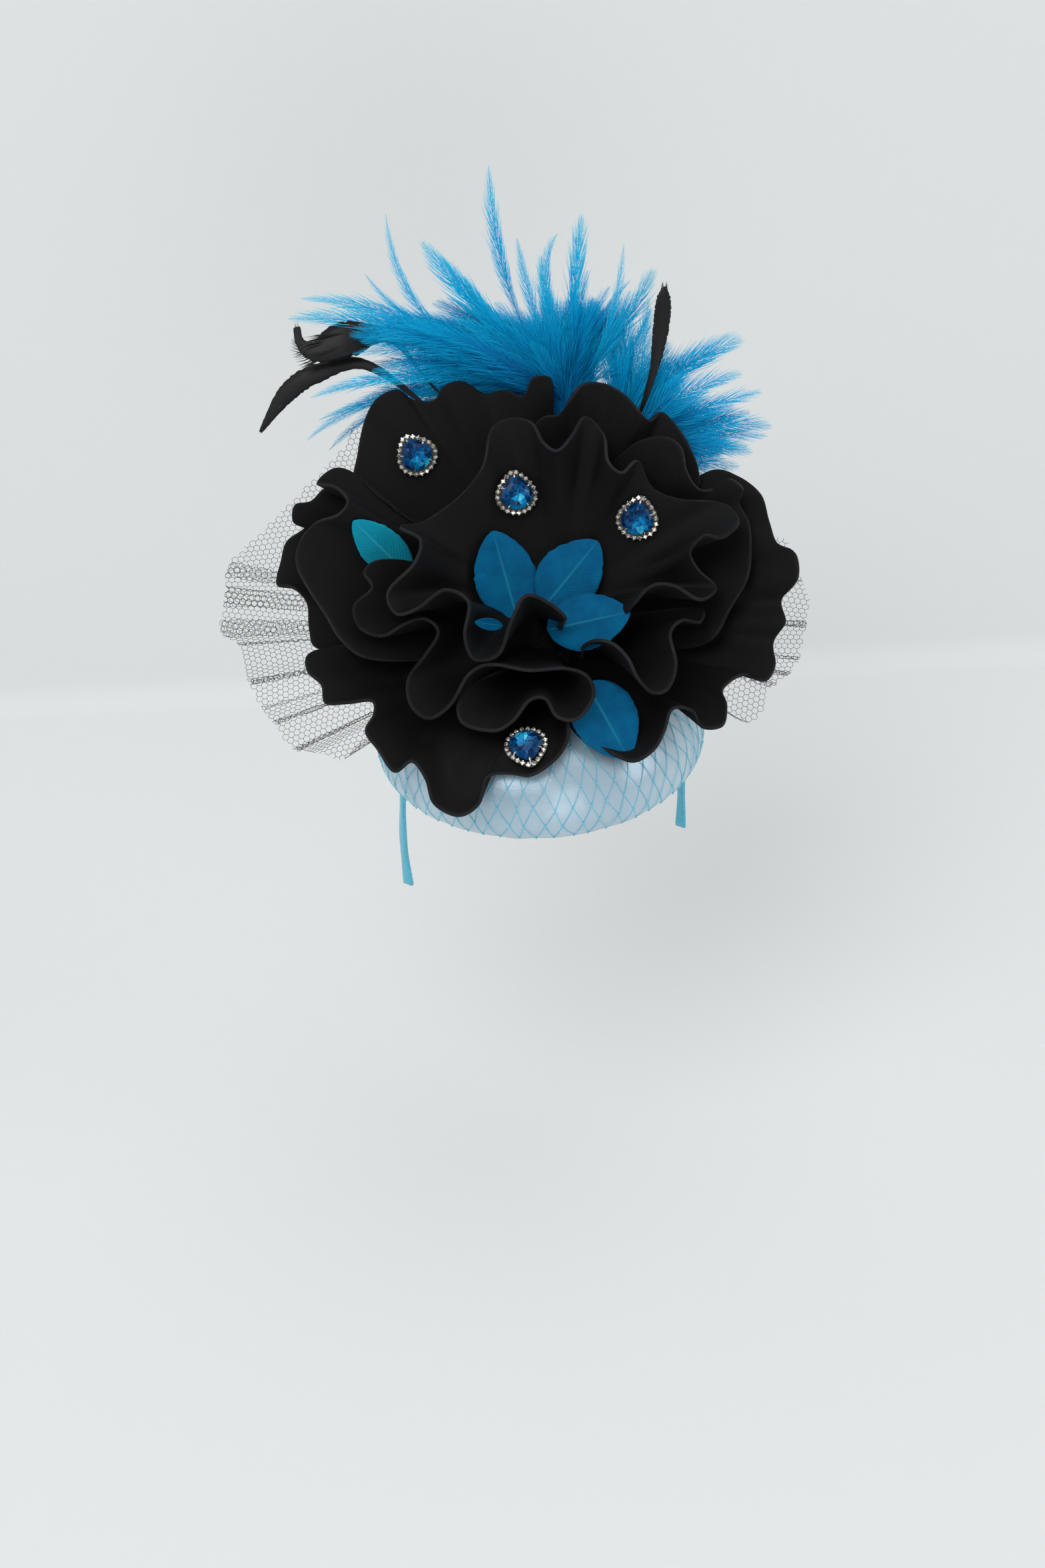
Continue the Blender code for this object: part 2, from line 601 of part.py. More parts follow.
def build_sheets(collection, looks):
    """The stack of net fans and petals, each a step further out than the one behind it."""
    sheets = {}
    for level, (name, rows, pad, drape, rings, samples, look) in enumerate(SHEETS):
        stack_out = STACK_FIRST + STACK_PITCH * level
        whole = rows if pad is PAD_CENTRE else whole_rim(rows, pad, stack_out)
        mesh = sheet_mesh(name, whole, stack_out, pad, drape, rings, samples, RISE[look])
        sheets[name] = add_object(name, mesh, looks[look], collection)
        add_solidify(sheets[name], FOAM if look == "foam" else NET_THICKNESS)
    return sheets


def build_plume(collection, looks):
    """A fan of feather locks that thickens to the head, which is fixed behind the petals."""
    tips = np.array(PLUME_TIPS, float)
    head = np.array(PLUME_HEAD)
    outline = []
    for tip, after in zip(tips, tips[1:]):
        outline.append(tip)
        outline.append(head + PLUME_VALLEY * (0.5 * (tip + after) - head))
    outline.append(tips[-1])

    def build(bm):
        sides = []
        for sign in (1, -1):
            root = bm.verts.new(face_point(*(head + (0, 0, sign * PLUME_HEAD_HALF))))
            waist = [(1 - PLUME_WAIST) * head + PLUME_WAIST * point for point in outline]
            waist_out = (0, 0, sign * PLUME_WAIST_HALF - PLUME_BEND)
            waist = [bm.verts.new(face_point(*(p + waist_out))) for p in waist]
            edge = [bm.verts.new(face_point(*(p + (0, 0, sign * PLUME_TIP_HALF)))) for p in outline]
            sides.append((root, waist, edge))
            for i in range(len(outline) - 1):
                bm.faces.new((root, waist[i], waist[i + 1]))
                bm.faces.new((waist[i], edge[i], edge[i + 1], waist[i + 1]))
        (front_root, front_waist, front_edge), (back_root, back_waist, back_edge) = sides
        for i in range(len(outline) - 1):
            bm.faces.new((front_edge[i], back_edge[i], back_edge[i + 1], front_edge[i + 1]))
        for end in (0, -1):
            bm.faces.new((front_root, back_root, back_waist[end], front_waist[end]))
            bm.faces.new((front_waist[end], back_waist[end], back_edge[end], front_edge[end]))

    add_object("feather_plume", mesh_from("feather_plume", build, False), looks["plume"], collection)


def build_black_feather(number, collection, looks):
    """A feather as a thin blade, thickest along its quill."""
    rows = np.array(BLACK_FEATHERS[number - 1], float)
    middle = rows[:, :3]
    ways = np.gradient(middle[:, :2], axis=0)
    ways /= np.linalg.norm(ways, axis=1, keepdims=True)
    rings = []
    for point, way, width in zip(middle, ways, rows[:, 3]):
        side = np.array((way[1], -way[0], 0.0)) * 0.5 * width
        thick = np.array((0.0, 0.0, 0.5 * FEATHER_THICKNESS))
        corners = (point - side, point - thick, point + side, point + thick)
        rings.append([face_point(*p) for p in corners])
    name = f"black_feather_{number}"
    mesh = mesh_from(name, lambda bm: frustum_rings(bm, rings))
    add_object(name, mesh, looks["black_feather"], collection)


def main():
    for old in list(bpy.data.objects):
        bpy.data.objects.remove(old)
    collection = bpy.data.collections.new("fascinator")
    bpy.context.scene.collection.children.link(collection)
    looks = {
        "satin": material("blue_satin", (0.42, 0.60, 0.80), 0.35),
        "band": material("turquoise_band", (0.08, 0.48, 0.64), 0.5),
        "foam": material("black_foam", (0.006, 0.006, 0.007), 0.85),
        "leaf": material("turquoise_feather_pad", (0.0, 0.15, 0.38), 0.6),
        "plume": material("turquoise_hackle", (0.0, 0.28, 0.55), 0.7),
        "black_feather": material("black_feather", (0.008, 0.008, 0.009), 0.6),
        "net": material("black_net", (0.01, 0.01, 0.012), 0.8),
        "setting": material("clear_crystal_in_silver", (0.80, 0.77, 0.70), 0.15, 0.9),
        "stone": material("aqua_blue_stone", (0.0, 0.13, 0.32), 0.05),
    }
    build_base(collection, looks)
    build_headband(collection, looks)
    build_stem(collection, looks)
    sheets = build_sheets(collection, looks)
    for number in range(1, len(JEWELS) + 1):
        build_jewel(number, sheets, collection, looks)
    for number in range(1, len(LEAVES) + 1):
        build_leaf(number, sheets, collection, looks)
    build_plume(collection, looks)
    for number in range(1, len(BLACK_FEATHERS) + 1):
        build_black_feather(number, collection, looks)


main()
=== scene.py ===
"""A fascinator of black foam petals, net, jewels and blue feathers on a satin base, around its frame.

Tables are in millimetres in the flower's own frame, as in the part's source: across to the right,
up along its face and out towards the front, measured from the flower's middle.
"""

import math

import bmesh
import bpy
import numpy as np
from mathutils import Matrix, Vector
from mathutils.bvhtree import BVHTree


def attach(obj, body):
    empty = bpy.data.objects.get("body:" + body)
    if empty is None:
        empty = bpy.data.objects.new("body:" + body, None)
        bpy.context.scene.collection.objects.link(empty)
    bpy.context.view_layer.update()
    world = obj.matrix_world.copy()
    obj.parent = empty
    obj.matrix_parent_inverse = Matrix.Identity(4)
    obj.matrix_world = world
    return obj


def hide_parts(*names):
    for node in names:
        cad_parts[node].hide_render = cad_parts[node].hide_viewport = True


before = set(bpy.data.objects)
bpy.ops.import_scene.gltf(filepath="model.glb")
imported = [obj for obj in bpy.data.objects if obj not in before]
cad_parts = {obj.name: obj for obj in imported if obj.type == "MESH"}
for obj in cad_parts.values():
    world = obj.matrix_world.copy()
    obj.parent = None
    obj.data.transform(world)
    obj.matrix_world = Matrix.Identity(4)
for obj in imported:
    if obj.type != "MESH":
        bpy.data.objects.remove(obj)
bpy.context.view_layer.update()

# The camera
# It looks straight down the flower's own axis, from a little over a metre away. The flower's frame is
# drawn as this eye sees it.
MM = 0.001
FACE_TILT = math.radians(33)
FACE_LEAN = math.radians(3)
EYE_DISTANCE = 1.05
LENS = 47.27
SHIFT = (-0.0119, -0.0221)

FACE_OUT = Vector((0, -math.cos(FACE_TILT), math.sin(FACE_TILT)))
FACE_RISE = Vector((0, math.sin(FACE_TILT), math.cos(FACE_TILT)))
camera_right = math.cos(FACE_LEAN) * Vector((1, 0, 0)) - math.sin(FACE_LEAN) * FACE_RISE
camera_up = math.sin(FACE_LEAN) * Vector((1, 0, 0)) + math.cos(FACE_LEAN) * FACE_RISE

camera = bpy.data.objects.new("camera", bpy.data.cameras.new("camera"))
bpy.context.scene.collection.objects.link(camera)
camera.data.sensor_width = 36.0
camera.data.sensor_fit = "AUTO"
camera.data.lens = LENS
camera.data.shift_x, camera.data.shift_y = SHIFT
view = Matrix((camera_right, camera_up, FACE_OUT)).transposed().to_4x4()
view.translation = FACE_OUT * EYE_DISTANCE
camera.matrix_world = view
bpy.context.scene.camera = camera
bpy.context.scene.view_settings.view_transform = "Standard"

# The studio
# A pale table, well below the base, that meets a pale wall behind it, under soft round lights: the
# main one in front and above, weaker ones at the sides, low in front and behind.
STUDIO_HALF = 4.0
FLOOR_HEIGHT = -0.26
WALL_TOP = 2.6
WALL_PLACE = 0.50
WALL_BEND = 0.02
# Lights: name, place, what it looks at, width and power
LIGHTS = (
    ("key_light", (-0.6, -1.3, 1.9), (0, 0, 0.05), 1.3, 15),
    ("right_light", (1.9, -0.6, 1.0), (0, 0, 0.05), 1.2, 8),
    ("window_light", (0.25, -1.5, 0.0), (0, 0, 0.03), 0.7, 2),
    ("left_light", (-1.9, -0.4, 0.9), (0, 0, 0.05), 1.2, 5),
    ("back_light", (0.3, 0.1, 2.2), (0, 0.2, 0), 1.4, 5),
)


def plain_mesh(name, points, faces):
    mesh = bpy.data.meshes.new(name)
    mesh.from_pydata([tuple(p) for p in points], [], [tuple(f) for f in faces])
    mesh.validate()
    return mesh


def put(name, mesh):
    made = bpy.data.objects.new(name, mesh)
    bpy.context.scene.collection.objects.link(made)
    return made


def link(tree, output, target):
    tree.links.new(output, target)


def set_inputs(target, inputs):
    """Sets a node's plain inputs by name, with a low line for a space."""
    for name, value in inputs.items():
        target.inputs[name.replace("_", " ")].default_value = value


def new_material(name, **inputs):
    """A material, its nodes and its shader, whose plain inputs are set by name."""
    made = bpy.data.materials.new(name)
    made.use_nodes = True
    shader = made.node_tree.nodes["Principled BSDF"]
    set_inputs(shader, inputs)
    return made, made.node_tree, shader


studio_profile = [(-STUDIO_HALF, FLOOR_HEIGHT)]
for step in range(9):
    bend = math.radians(90 * step / 8)
    studio_profile.append(
        (WALL_PLACE - WALL_BEND * (1 - math.sin(bend)), FLOOR_HEIGHT + WALL_BEND * (1 - math.cos(bend)))
    )
studio_profile.append((WALL_PLACE, WALL_TOP))
studio_points = [(x, y, z) for y, z in studio_profile for x in (-STUDIO_HALF, STUDIO_HALF)]
studio_faces = [(2 * i, 2 * i + 1, 2 * i + 3, 2 * i + 2) for i in range(len(studio_profile) - 1)]
studio = put("studio_sweep", plain_mesh("studio_sweep", studio_points, studio_faces))
studio.data.shade_smooth()
paper, paper_tree, paper_shader = new_material(
    "studio_paper", Base_Color=(0.86, 0.87, 0.865, 1), Roughness=0.9
)
# The paper lets the eye through from behind
paper_side = paper_tree.nodes.new("ShaderNodeNewGeometry")
paper_clear = paper_tree.nodes.new("ShaderNodeBsdfTransparent")
paper_mix = paper_tree.nodes.new("ShaderNodeMixShader")
link(paper_tree, paper_side.outputs["Backfacing"], paper_mix.inputs[0])
link(paper_tree, paper_shader.outputs[0], paper_mix.inputs[1])
link(paper_tree, paper_clear.outputs[0], paper_mix.inputs[2])
link(paper_tree, paper_mix.outputs[0], paper_tree.nodes["Material Output"].inputs["Surface"])
studio.data.materials.append(paper)

for name, place, target, size, power in LIGHTS:
    light = bpy.data.lights.new(name, "AREA")
    light.shape = "DISK"
    light.size = size
    light.energy = power
    holder = put(name, light)
    holder.location = place
    holder.rotation_euler = (Vector(target) - Vector(place)).to_track_quat("-Z", "Y").to_euler()
world = bpy.data.worlds.new("studio_air")
world.use_nodes = True
set_inputs(world.node_tree.nodes["Background"], {"Color": (0.95, 0.98, 1.0, 1), "Strength": 0.42})
bpy.context.scene.world = world

# The satin base
# A round pillbox of pale blue satin stretched over a stiff dome and turned in at the rim, so that the
# cloth swells a little between faint pulls. It is 3 mm thick with its lining and open underneath.
BASE_PROFILE = (
    (0.0, 50.0), (34.0, 49.6), (52.0, 47.0), (65.0, 42.0), (75.0, 34.0),
    (81.0, 24.0), (82.5, 14.0), (81.5, 6.0), (78.0, 0.0),
)
BASE_WALL = 3.0
# Steps round the base, and rows down its profile
BASE_STEPS = 144
BASE_ROWS = 48
# How much of the picture plane the skin takes up, round the base and down it
BASE_UV = (0.5, 0.12)
PULLS = 23
PULL_DEPTH = 0.35


def curve_through(rows, count, closed=False):
    """Points on a smooth curve through the rows."""
    points = np.array(rows, float)
    spans = len(points) if closed else len(points) - 1
    places = np.arange(count) * spans / (count if closed else count - 1)
    start = np.minimum(places.astype(int), spans - 1)
    part = (places - start)[:, None]
    ends = []
    for shift in (-1, 0, 1, 2):
        index = start + shift
        index = index % len(points) if closed else np.clip(index, 0, len(points) - 1)
        ends.append(points[index])
    p0, p1, p2, p3 = ends
    return (
        p1
        + 0.5 * part * (p2 - p0)
        + 0.5 * part**2 * (2 * p0 - 5 * p1 + 4 * p2 - p3)
        + 0.5 * part**3 * (3 * (p1 - p2) + p3 - p0)
    )


def grid_faces(rows, columns, closed_columns=False):
    faces = []
    for row in range(rows - 1):
        low, high = row * columns, (row + 1) * columns
        for column in range(columns if closed_columns else columns - 1):
            after = (column + 1) % columns
            faces.append((low + column, low + after, high + after, high + column))
    return faces


def set_uv(mesh, uv_of_point):
    layer = mesh.uv_layers.new(name="UVMap")
    corners = np.zeros(len(mesh.loops), int)
    mesh.loops.foreach_get("vertex_index", corners)
    layer.data.foreach_set("uv", np.asarray(uv_of_point, np.float32)[corners].ravel())


def finished(target):
    """Gives the piece its mesh with the modifiers worked in, and takes the modifiers off."""
    graph = bpy.context.evaluated_depsgraph_get()
    graph.update()
    mesh = bpy.data.meshes.new_from_object(target.evaluated_get(graph))
    target.modifiers.clear()
    target.data = mesh
    return target


def thicken(target, thickness, offset=0.0):
    wall = target.modifiers.new("thickness", "SOLIDIFY")
    wall.thickness = thickness * MM
    wall.offset = offset
    wall.use_even_offset = False
    return finished(target)


def ride(piece, slot, *nodes):
    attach(piece, "root")
    if nodes:
        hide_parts(*nodes)


def node(tree, kind, **inputs):
    made = tree.nodes.new(kind)
    set_inputs(made, inputs)
    return made


def texture(tree, kind, **inputs):
    """A texture that lies in the piece's own space."""
    place = tree.nodes.new("ShaderNodeTexCoord")
    made = node(tree, f"ShaderNodeTex{kind}", **inputs)
    link(tree, place.outputs["Object"], made.inputs["Vector"])
    return made


def noise(tree, scale, detail):
    return texture(tree, "Noise", Scale=scale, Detail=detail).outputs["Fac"]


def maths(tree, operation, *values):
    made = tree.nodes.new("ShaderNodeMath")
    made.operation = operation
    for socket, value in zip(made.inputs, values):
        if isinstance(value, (int, float)):
            socket.default_value = value
        else:
            link(tree, value, socket)
    return made.outputs[0]


def ramp(tree, factor, *stops):
    made = tree.nodes.new("ShaderNodeValToRGB")
    elements = made.color_ramp.elements
    while len(elements) < len(stops):
        elements.new(0.5)
    for element, (place, colour) in zip(elements, stops):
        element.position = place
        element.color = (*colour, 1)
    link(tree, factor, made.inputs["Fac"])
    return made.outputs["Color"]


def tint(tree, shader, factor, *stops):
    """Colours the shader by the factor, through stops of place and colour."""
    link(tree, ramp(tree, factor, *stops), shader.inputs["Base Color"])


def bump(tree, shader, height, depth):
    made = node(tree, "ShaderNodeBump", Strength=1.0, Distance=depth)
    link(tree, height, made.inputs["Height"])
    link(tree, made.outputs["Normal"], shader.inputs["Normal"])


profile = curve_through(BASE_PROFILE, BASE_ROWS)
base_points = []
base_uv = []
for row, (radius, height) in enumerate(profile):
    for step in range(BASE_STEPS):
        angle = 2 * math.pi * step / BASE_STEPS
        pull = math.sin(PULLS * angle + 1.3 * math.sin(3 * angle)) * math.sin(5 * angle + 0.7)
        swell = PULL_DEPTH * pull * min(1.0, (radius / 70) ** 4) * (1 - height / 60)
        reach = radius + swell
        base_points.append((reach * math.cos(angle) * MM, reach * math.sin(angle) * MM, height * MM))
        base_uv.append((step / BASE_STEPS * BASE_UV[0], row / BASE_ROWS * BASE_UV[1]))
base = put("satin_base", plain_mesh("satin_base", base_points, grid_faces(BASE_ROWS, BASE_STEPS, True)))
set_uv(base.data, base_uv)
base_bmesh = bmesh.new()
base_bmesh.from_mesh(base.data)
bmesh.ops.remove_doubles(base_bmesh, verts=base_bmesh.verts, dist=0.00002)
bmesh.ops.recalc_face_normals(base_bmesh, faces=base_bmesh.faces)
if sum(f.normal.dot(f.calc_center_median()) for f in base_bmesh.faces) < 0:
    bmesh.ops.reverse_faces(base_bmesh, faces=base_bmesh.faces)
base_bmesh.to_mesh(base.data)
base_bmesh.free()
base.data.shade_smooth()
thicken(base, BASE_WALL, -1.0)

satin, satin_tree, satin_shader = new_material(
    "blue_satin", Metallic=0.35, Roughness=0.24, Sheen_Weight=0.3, Sheen_Roughness=0.4, Specular_IOR_Level=0.7
)
satin_cloud = noise(satin_tree, 22.0, 2.0)
tint(satin_tree, satin_shader, satin_cloud, (0.3, (0.42, 0.56, 0.67)), (0.7, (0.50, 0.64, 0.75)))
satin_weave = texture(satin_tree, "Wave", Scale=900.0, Distortion=0.6)
satin_weave.bands_direction = "Z"
satin_slack = noise(satin_tree, 70.0, 3.0)
satin_height = maths(
    satin_tree,
    "ADD",
    maths(satin_tree, "MULTIPLY", satin_weave.outputs["Fac"], 0.04),
    maths(satin_tree, "MULTIPLY", satin_slack, 1.0),
)
bump(satin_tree, satin_shader, satin_height, 0.0006)
base.data.materials.append(satin)
ride(base, "blue_satin", "base_dome")

# The headband
# A narrow turquoise band, flat and a little springy, that arches up inside the base and comes down
# both sides to ends that are turned half over.
BAND_THICKNESS = 2.0
BAND_HALF_SPAN = 72.0
BAND_FOOT = -66.0
BAND_YAW = math.radians(15)
BAND_GAP = 0.3
BAND_END_TURN = math.radians(40)
BAND_CORNERS = (
    (-3.0, -0.5), (-2.6, -1.0), (2.6, -1.0), (3.0, -0.5), (3.0, 0.5), (2.6, 1.0), (-2.6, 1.0), (-3.0, 0.5),
)
BAND_SAMPLES = 120
# Samples over which an end turns, and the place, width and share of the pinch near it
BAND_END = 12
BAND_PINCH = (5, 2.2, 0.25)


def faces_out(piece):
    """Turns a closed piece's faces outwards."""
    bm = bmesh.new()
    bm.from_mesh(piece.data)
    bmesh.ops.recalc_face_normals(bm, faces=bm.faces)
    bm.to_mesh(piece.data)
    bm.free()


band_crown = BASE_PROFILE[0][1] - BASE_WALL - BAND_GAP - 0.5 * BAND_THICKNESS
band_route = [
    (BAND_HALF_SPAN + 3.0, BAND_FOOT),
    (BAND_HALF_SPAN + 3.5, 0.6 * BAND_FOOT),
    (BAND_HALF_SPAN + 2.0, 0.25 * BAND_FOOT),
]
for degrees in range(0, 91, 15):
    bearing = math.radians(degrees)
    band_route.append((BAND_HALF_SPAN * math.cos(bearing), band_crown * math.sin(bearing) ** 0.8))
band_route += [(-x, z) for x, z in band_route[:-1][::-1]]
band_line = curve_through(band_route, BAND_SAMPLES)
band_points = []
for index, (x, z) in enumerate(band_line):
    ahead = band_line[min(index + 1, BAND_SAMPLES - 1)] - band_line[max(index - 1, 0)]
    ahead /= np.linalg.norm(ahead)
    to_end = min(index, BAND_SAMPLES - 1 - index)
    turn = BAND_END_TURN * max(0.0, 1.0 - to_end / BAND_END) * (1 if index < BAND_SAMPLES / 2 else -1)
    pinch = 1 - BAND_PINCH[2] * math.exp(-(((to_end - BAND_PINCH[0]) / BAND_PINCH[1]) ** 2))
    for side, thick in BAND_CORNERS:
        wide = side * math.cos(turn) * pinch - thick * math.sin(turn)
        deep = side * math.sin(turn) * pinch + thick * math.cos(turn)
        spot = Vector(((x - ahead[1] * deep) * MM, wide * MM, (z + ahead[0] * deep) * MM))
        band_points.append(Matrix.Rotation(BAND_YAW, 3, "Z") @ spot)
band_faces = grid_faces(BAND_SAMPLES, len(BAND_CORNERS), True)
band_faces += [tuple(range(len(BAND_CORNERS)))[::-1]]
band_faces += [tuple(range(len(band_points) - len(BAND_CORNERS), len(band_points)))]
band = put("headband_strip", plain_mesh("headband_strip", band_points, band_faces))
faces_out(band)
band.data.shade_smooth()
band_look, band_tree, band_shader = new_material("turquoise_band", Roughness=0.42, Sheen_Weight=0.3)
band_ribs = noise(band_tree, 700.0, 2.0)
tint(band_tree, band_shader, band_ribs, (0.3, (0.06, 0.42, 0.60)), (0.7, (0.10, 0.54, 0.70)))
bump(band_tree, band_shader, band_ribs, 0.0001)
band.data.materials.append(band_look)
ride(band, "blue_band", "headband")

# The foam petals
# Ten sheets of black foam, 1.6 mm thick, cut to shape, heated and stretched at the rim until it
# ruffles. They are stacked on each other and glued at the middle. A cut edge is greyer than the face,
# partly the foam's own grey and partly a painted highlight.
FLOWER_MIDDLE = (8.0, 66.0)
TRUE_SIZE_OUT = 31.0
FOAM = 1.6
STACK_FIRST = 25.2
STACK_PITCH = FOAM + 0.8
PAD_MARGIN = 1.06
DRAPE_CLEARANCE = 4.2
DRAPE_BLEND = 5.0
# How a sheet leaves its pad: the power of its bowl's rise, and of its ruffles' growth towards the rim
BOWL = 2.2
FADE = 3.0
PETAL_LEVELS = (0.1, 0.2, 0.3, 0.4, 0.48, 0.56, 0.63, 0.7, 0.76, 0.82, 0.87, 0.92, 0.96, 0.988, 1.0)
PETAL_SAMPLES = 7

# Every rim below has a row for each crest or dip of its ruffles: across, up, out.
# They run anticlockwise, and close round the pad where nothing of them shows.
RIM_BACK_LEFT = (
    (13, 60, 34), (8, 84, 34), (-3, 101, 36), (-3, 117, 39), (-12, 118, 43),
    (-17, 109, 41), (-26, 112, 37), (-36, 110, 34), (-47, 116, 38), (-56, 114, 40), (-61, 107, 36),
    (-72, 107, 34), (-80, 112, 38), (-90, 107, 39), (-96, 95, 36), (-99, 80, 37), (-101, 66, 38),
    (-95, 50, 37), (-80, 42, 35), (-52, 28, 32), (-28, 12, 30),
)
RIM_RIGHT = (
    (3, -27, 35), (5, -50, 70), (12, -60, 80), (27, -68, 84), (38, -72, 87),
    (48, -66, 84), (53, -57, 78), (57, -46, 72), (67, -47, 74), (72, -55, 80), (82, -54, 80),
    (84, -44, 70), (82, -36, 62), (92, -29, 56), (103, -32, 60), (108, -24, 57), (107, -13, 50),
    (113, -3, 54), (111, 8, 49), (119, 18, 57), (118, 31, 55), (109, 36, 47), (105, 47, 43),
    (101, 60, 47), (90, 69, 43), (76, 72, 40), (56, 58, 36), (34, 32, 33),
)
RIM_BACK_TOP = (
    (26, 14, 37), (52, 42, 41), (69, 62, 44), (70, 72, 46), (66, 83, 51), (60, 93, 47),
    (52, 101, 45), (46, 97, 50), (41, 101, 55), (34, 109, 51), (24, 115, 47), (13, 115, 52),
    (6, 107, 57), (1, 100, 53), (-8, 98, 48), (-14, 86, 43), (-14, 58, 38), (-9, 28, 35),
)
RIM_MID_RIGHT = (
    (28, -12, 38), (52, -16, 44), (70, -15, 51), (79, -9, 57), (86, 4, 55), (94, 18, 58),
    (96, 32, 56), (95, 46, 52), (90, 56, 56), (92, 63, 61), (85, 68, 60), (78, 63, 56),
    (70, 63, 56), (64, 72, 60), (61, 84, 62), (51, 89, 58), (36, 84, 53), (20, 66, 46),
    (6, 36, 40),
)
RIM_LEFT_OUTER = (
    (-22, 18, 40), (-54, 40, 42), (-90, 56, 46), (-112, 64, 49), (-122, 57, 52),
    (-130, 55, 53), (-131, 47, 51), (-125, 44, 48), (-134, 37, 47), (-137, 27, 49), (-139, 16, 53),
    (-131, 14, 57), (-124, 6, 54), (-123, -6, 50), (-119, -16, 51), (-98, -18, 46),
    (-60, -14, 42), (-28, -8, 40),
)
RIM_FRONT_LOW = (
    (-26, -8, 43), (-62, -10, 47), (-98, -13, 52), (-122, -18, 56), (-124, -27, 60), (-117, -34, 63),
    (-115, -43, 68), (-104, -43, 68), (-92, -42, 71), (-91, -49, 76), (-95, -57, 80), (-89, -66, 82),
    (-81, -77, 85), (-72, -72, 84), (-65, -81, 88), (-61, -93, 90), (-49, -99, 92),
    (-39, -93, 90), (-35, -80, 86), (-24, -78, 88), (-13, -79, 91), (-1, -71, 91), (5, -61, 88),
    (5, -50, 80), (4, -35, 54), (5, -22, 43),
)
RIM_LEFT = (
    (-34, 18, 46), (-62, 40, 49), (-88, 58, 54), (-101, 71, 56), (-111, 73, 58), (-119, 66, 62),
    (-110, 64, 67), (-104, 57, 69), (-109, 50, 67), (-120, 46, 63), (-128, 36, 61), (-129, 25, 63),
    (-123, 13, 67), (-115, 1, 69), (-107, -12, 71), (-94, -21, 70), (-66, -22, 60), (-34, -16, 49),
)
RIM_FRONT_RIGHT = (
    (9, -18, 51), (12, -21, 62), (13, -15, 76), (20, -12, 83), (28, -14, 85), (35, -21, 85),
    (40, -31, 85), (47, -38, 87), (55, -36, 85), (59, -24, 81), (56, -9, 75), (62, -2, 70),
    (71, -3, 66), (70, 4, 60), (38, 2, 52),
)
RIM_FRONT_MID = (
    (-40, 14, 54), (-68, 26, 62), (-88, 28, 68), (-96, 22, 72), (-92, 14, 74), (-101, 5, 74),
    (-98, -6, 74), (-87, -10, 75), (-76, -4, 76), (-66, -1, 76), (-59, -8, 77), (-66, -20, 78),
    (-74, -31, 80), (-73, -44, 83), (-64, -51, 86), (-53, -44, 88), (-44, -29, 88), (-33, -24, 87),
    (-14, -27, 87), (4, -26, 86), (15, -30, 87), (18, -40, 89), (10, -51, 92), (0, -50, 92),
    (-6, -41, 90), (-14, -42, 90), (-22, -52, 93), (-32, -57, 94), (-48, -52, 92), (-46, -36, 80),
    (-20, -24, 58),
)
RIM_CENTRE = (
    (6, -6, 60), (20, -2, 62), (32, -1, 68), (38, 6, 79), (47, 15, 84), (58, 15, 80), (71, 8, 73),
    (79, 14, 66), (70, 23, 68), (66, 32, 75), (73, 40, 81), (82, 39, 79), (90, 47, 71),
    (82, 56, 64), (60, 58, 63), (47, 64, 62), (40, 77, 67), (32, 71, 73), (25, 77, 71),
    (23, 90, 64), (14, 99, 64), (7, 89, 71), (0, 82, 74), (-7, 86, 71), (-13, 96, 64),
    (-24, 98, 59), (-33, 92, 60), (-37, 74, 63), (-49, 59, 63), (-66, 47, 65), (-78, 44, 73),
    (-68, 38, 82), (-71, 26, 86), (-84, 12, 84), (-80, 1, 83), (-69, 4, 87), (-56, 13, 91),
    (-44, 7, 91), (-46, -10, 86), (-41, -22, 85), (-29, -19, 89), (-23, -3, 93), (-16, 10, 92),
    (-5, 7, 88), (4, -1, 82), (0, -6, 68),
)
# The net fans have a row for each edge of a pleat
RIM_NET_RIGHT = (
    (50, -30, 34), (94, -53, 29), (106, -36, 32), (112, -32, 25), (119, -24, 31),
    (121, -18, 24), (124, -4, 31), (125, 9, 24), (118, 24, 31), (108, 40, 26), (60, 26, 25),
)
RIM_NET_LEFT = (
    (-40, 42, 28), (-96, 94, 26), (-106, 84, 21), (-116, 73, 27), (-134, 55, 21), (-151, 38, 27),
    (-163, 26, 21), (-165, 10, 28), (-167, -8, 22), (-159, -14, 29), (-156, -24, 22), (-153, -33, 30),
    (-147, -45, 24), (-141, -53, 32), (-131, -66, 27), (-118, -68, 42), (-106, -71, 46), (-94, -59, 60),
    (-50, -30, 44),
)
# Pads: middle and radii
PAD = ((0.0, -4.0), (10.0, 12.0))
PAD_RIGHT_SIDE = ((4.0, -6.0), (6.0, 8.0))
PAD_LEFT_SIDE = ((-5.0, -4.0), (5.0, 9.0))
PAD_CENTRE = ((0.0, 5.0), (9.0, 9.0))
# Sheets from the back of the stack to the front: name, rim, pad, place over the base
SHEETS = (
    ("net_fan_right", RIM_NET_RIGHT, PAD, 0),
    ("net_fan_left", RIM_NET_LEFT, PAD, 0.8),
    ("petal_back_left", RIM_BACK_LEFT, PAD, 0),
    ("petal_right", RIM_RIGHT, PAD, 0),
    ("petal_back_top", RIM_BACK_TOP, PAD, 1),
    ("petal_mid_right", RIM_MID_RIGHT, PAD, 1),
    ("petal_left_outer", RIM_LEFT_OUTER, PAD, 1.7),
    ("petal_front_low", RIM_FRONT_LOW, PAD, 2),
    ("petal_left", RIM_LEFT, PAD, 3),
    ("petal_front_right", RIM_FRONT_RIGHT, PAD_RIGHT_SIDE, 4),
    ("petal_front_mid", RIM_FRONT_MID, PAD_LEFT_SIDE, 5),
    ("petal_centre", RIM_CENTRE, PAD_CENTRE, 6),
)


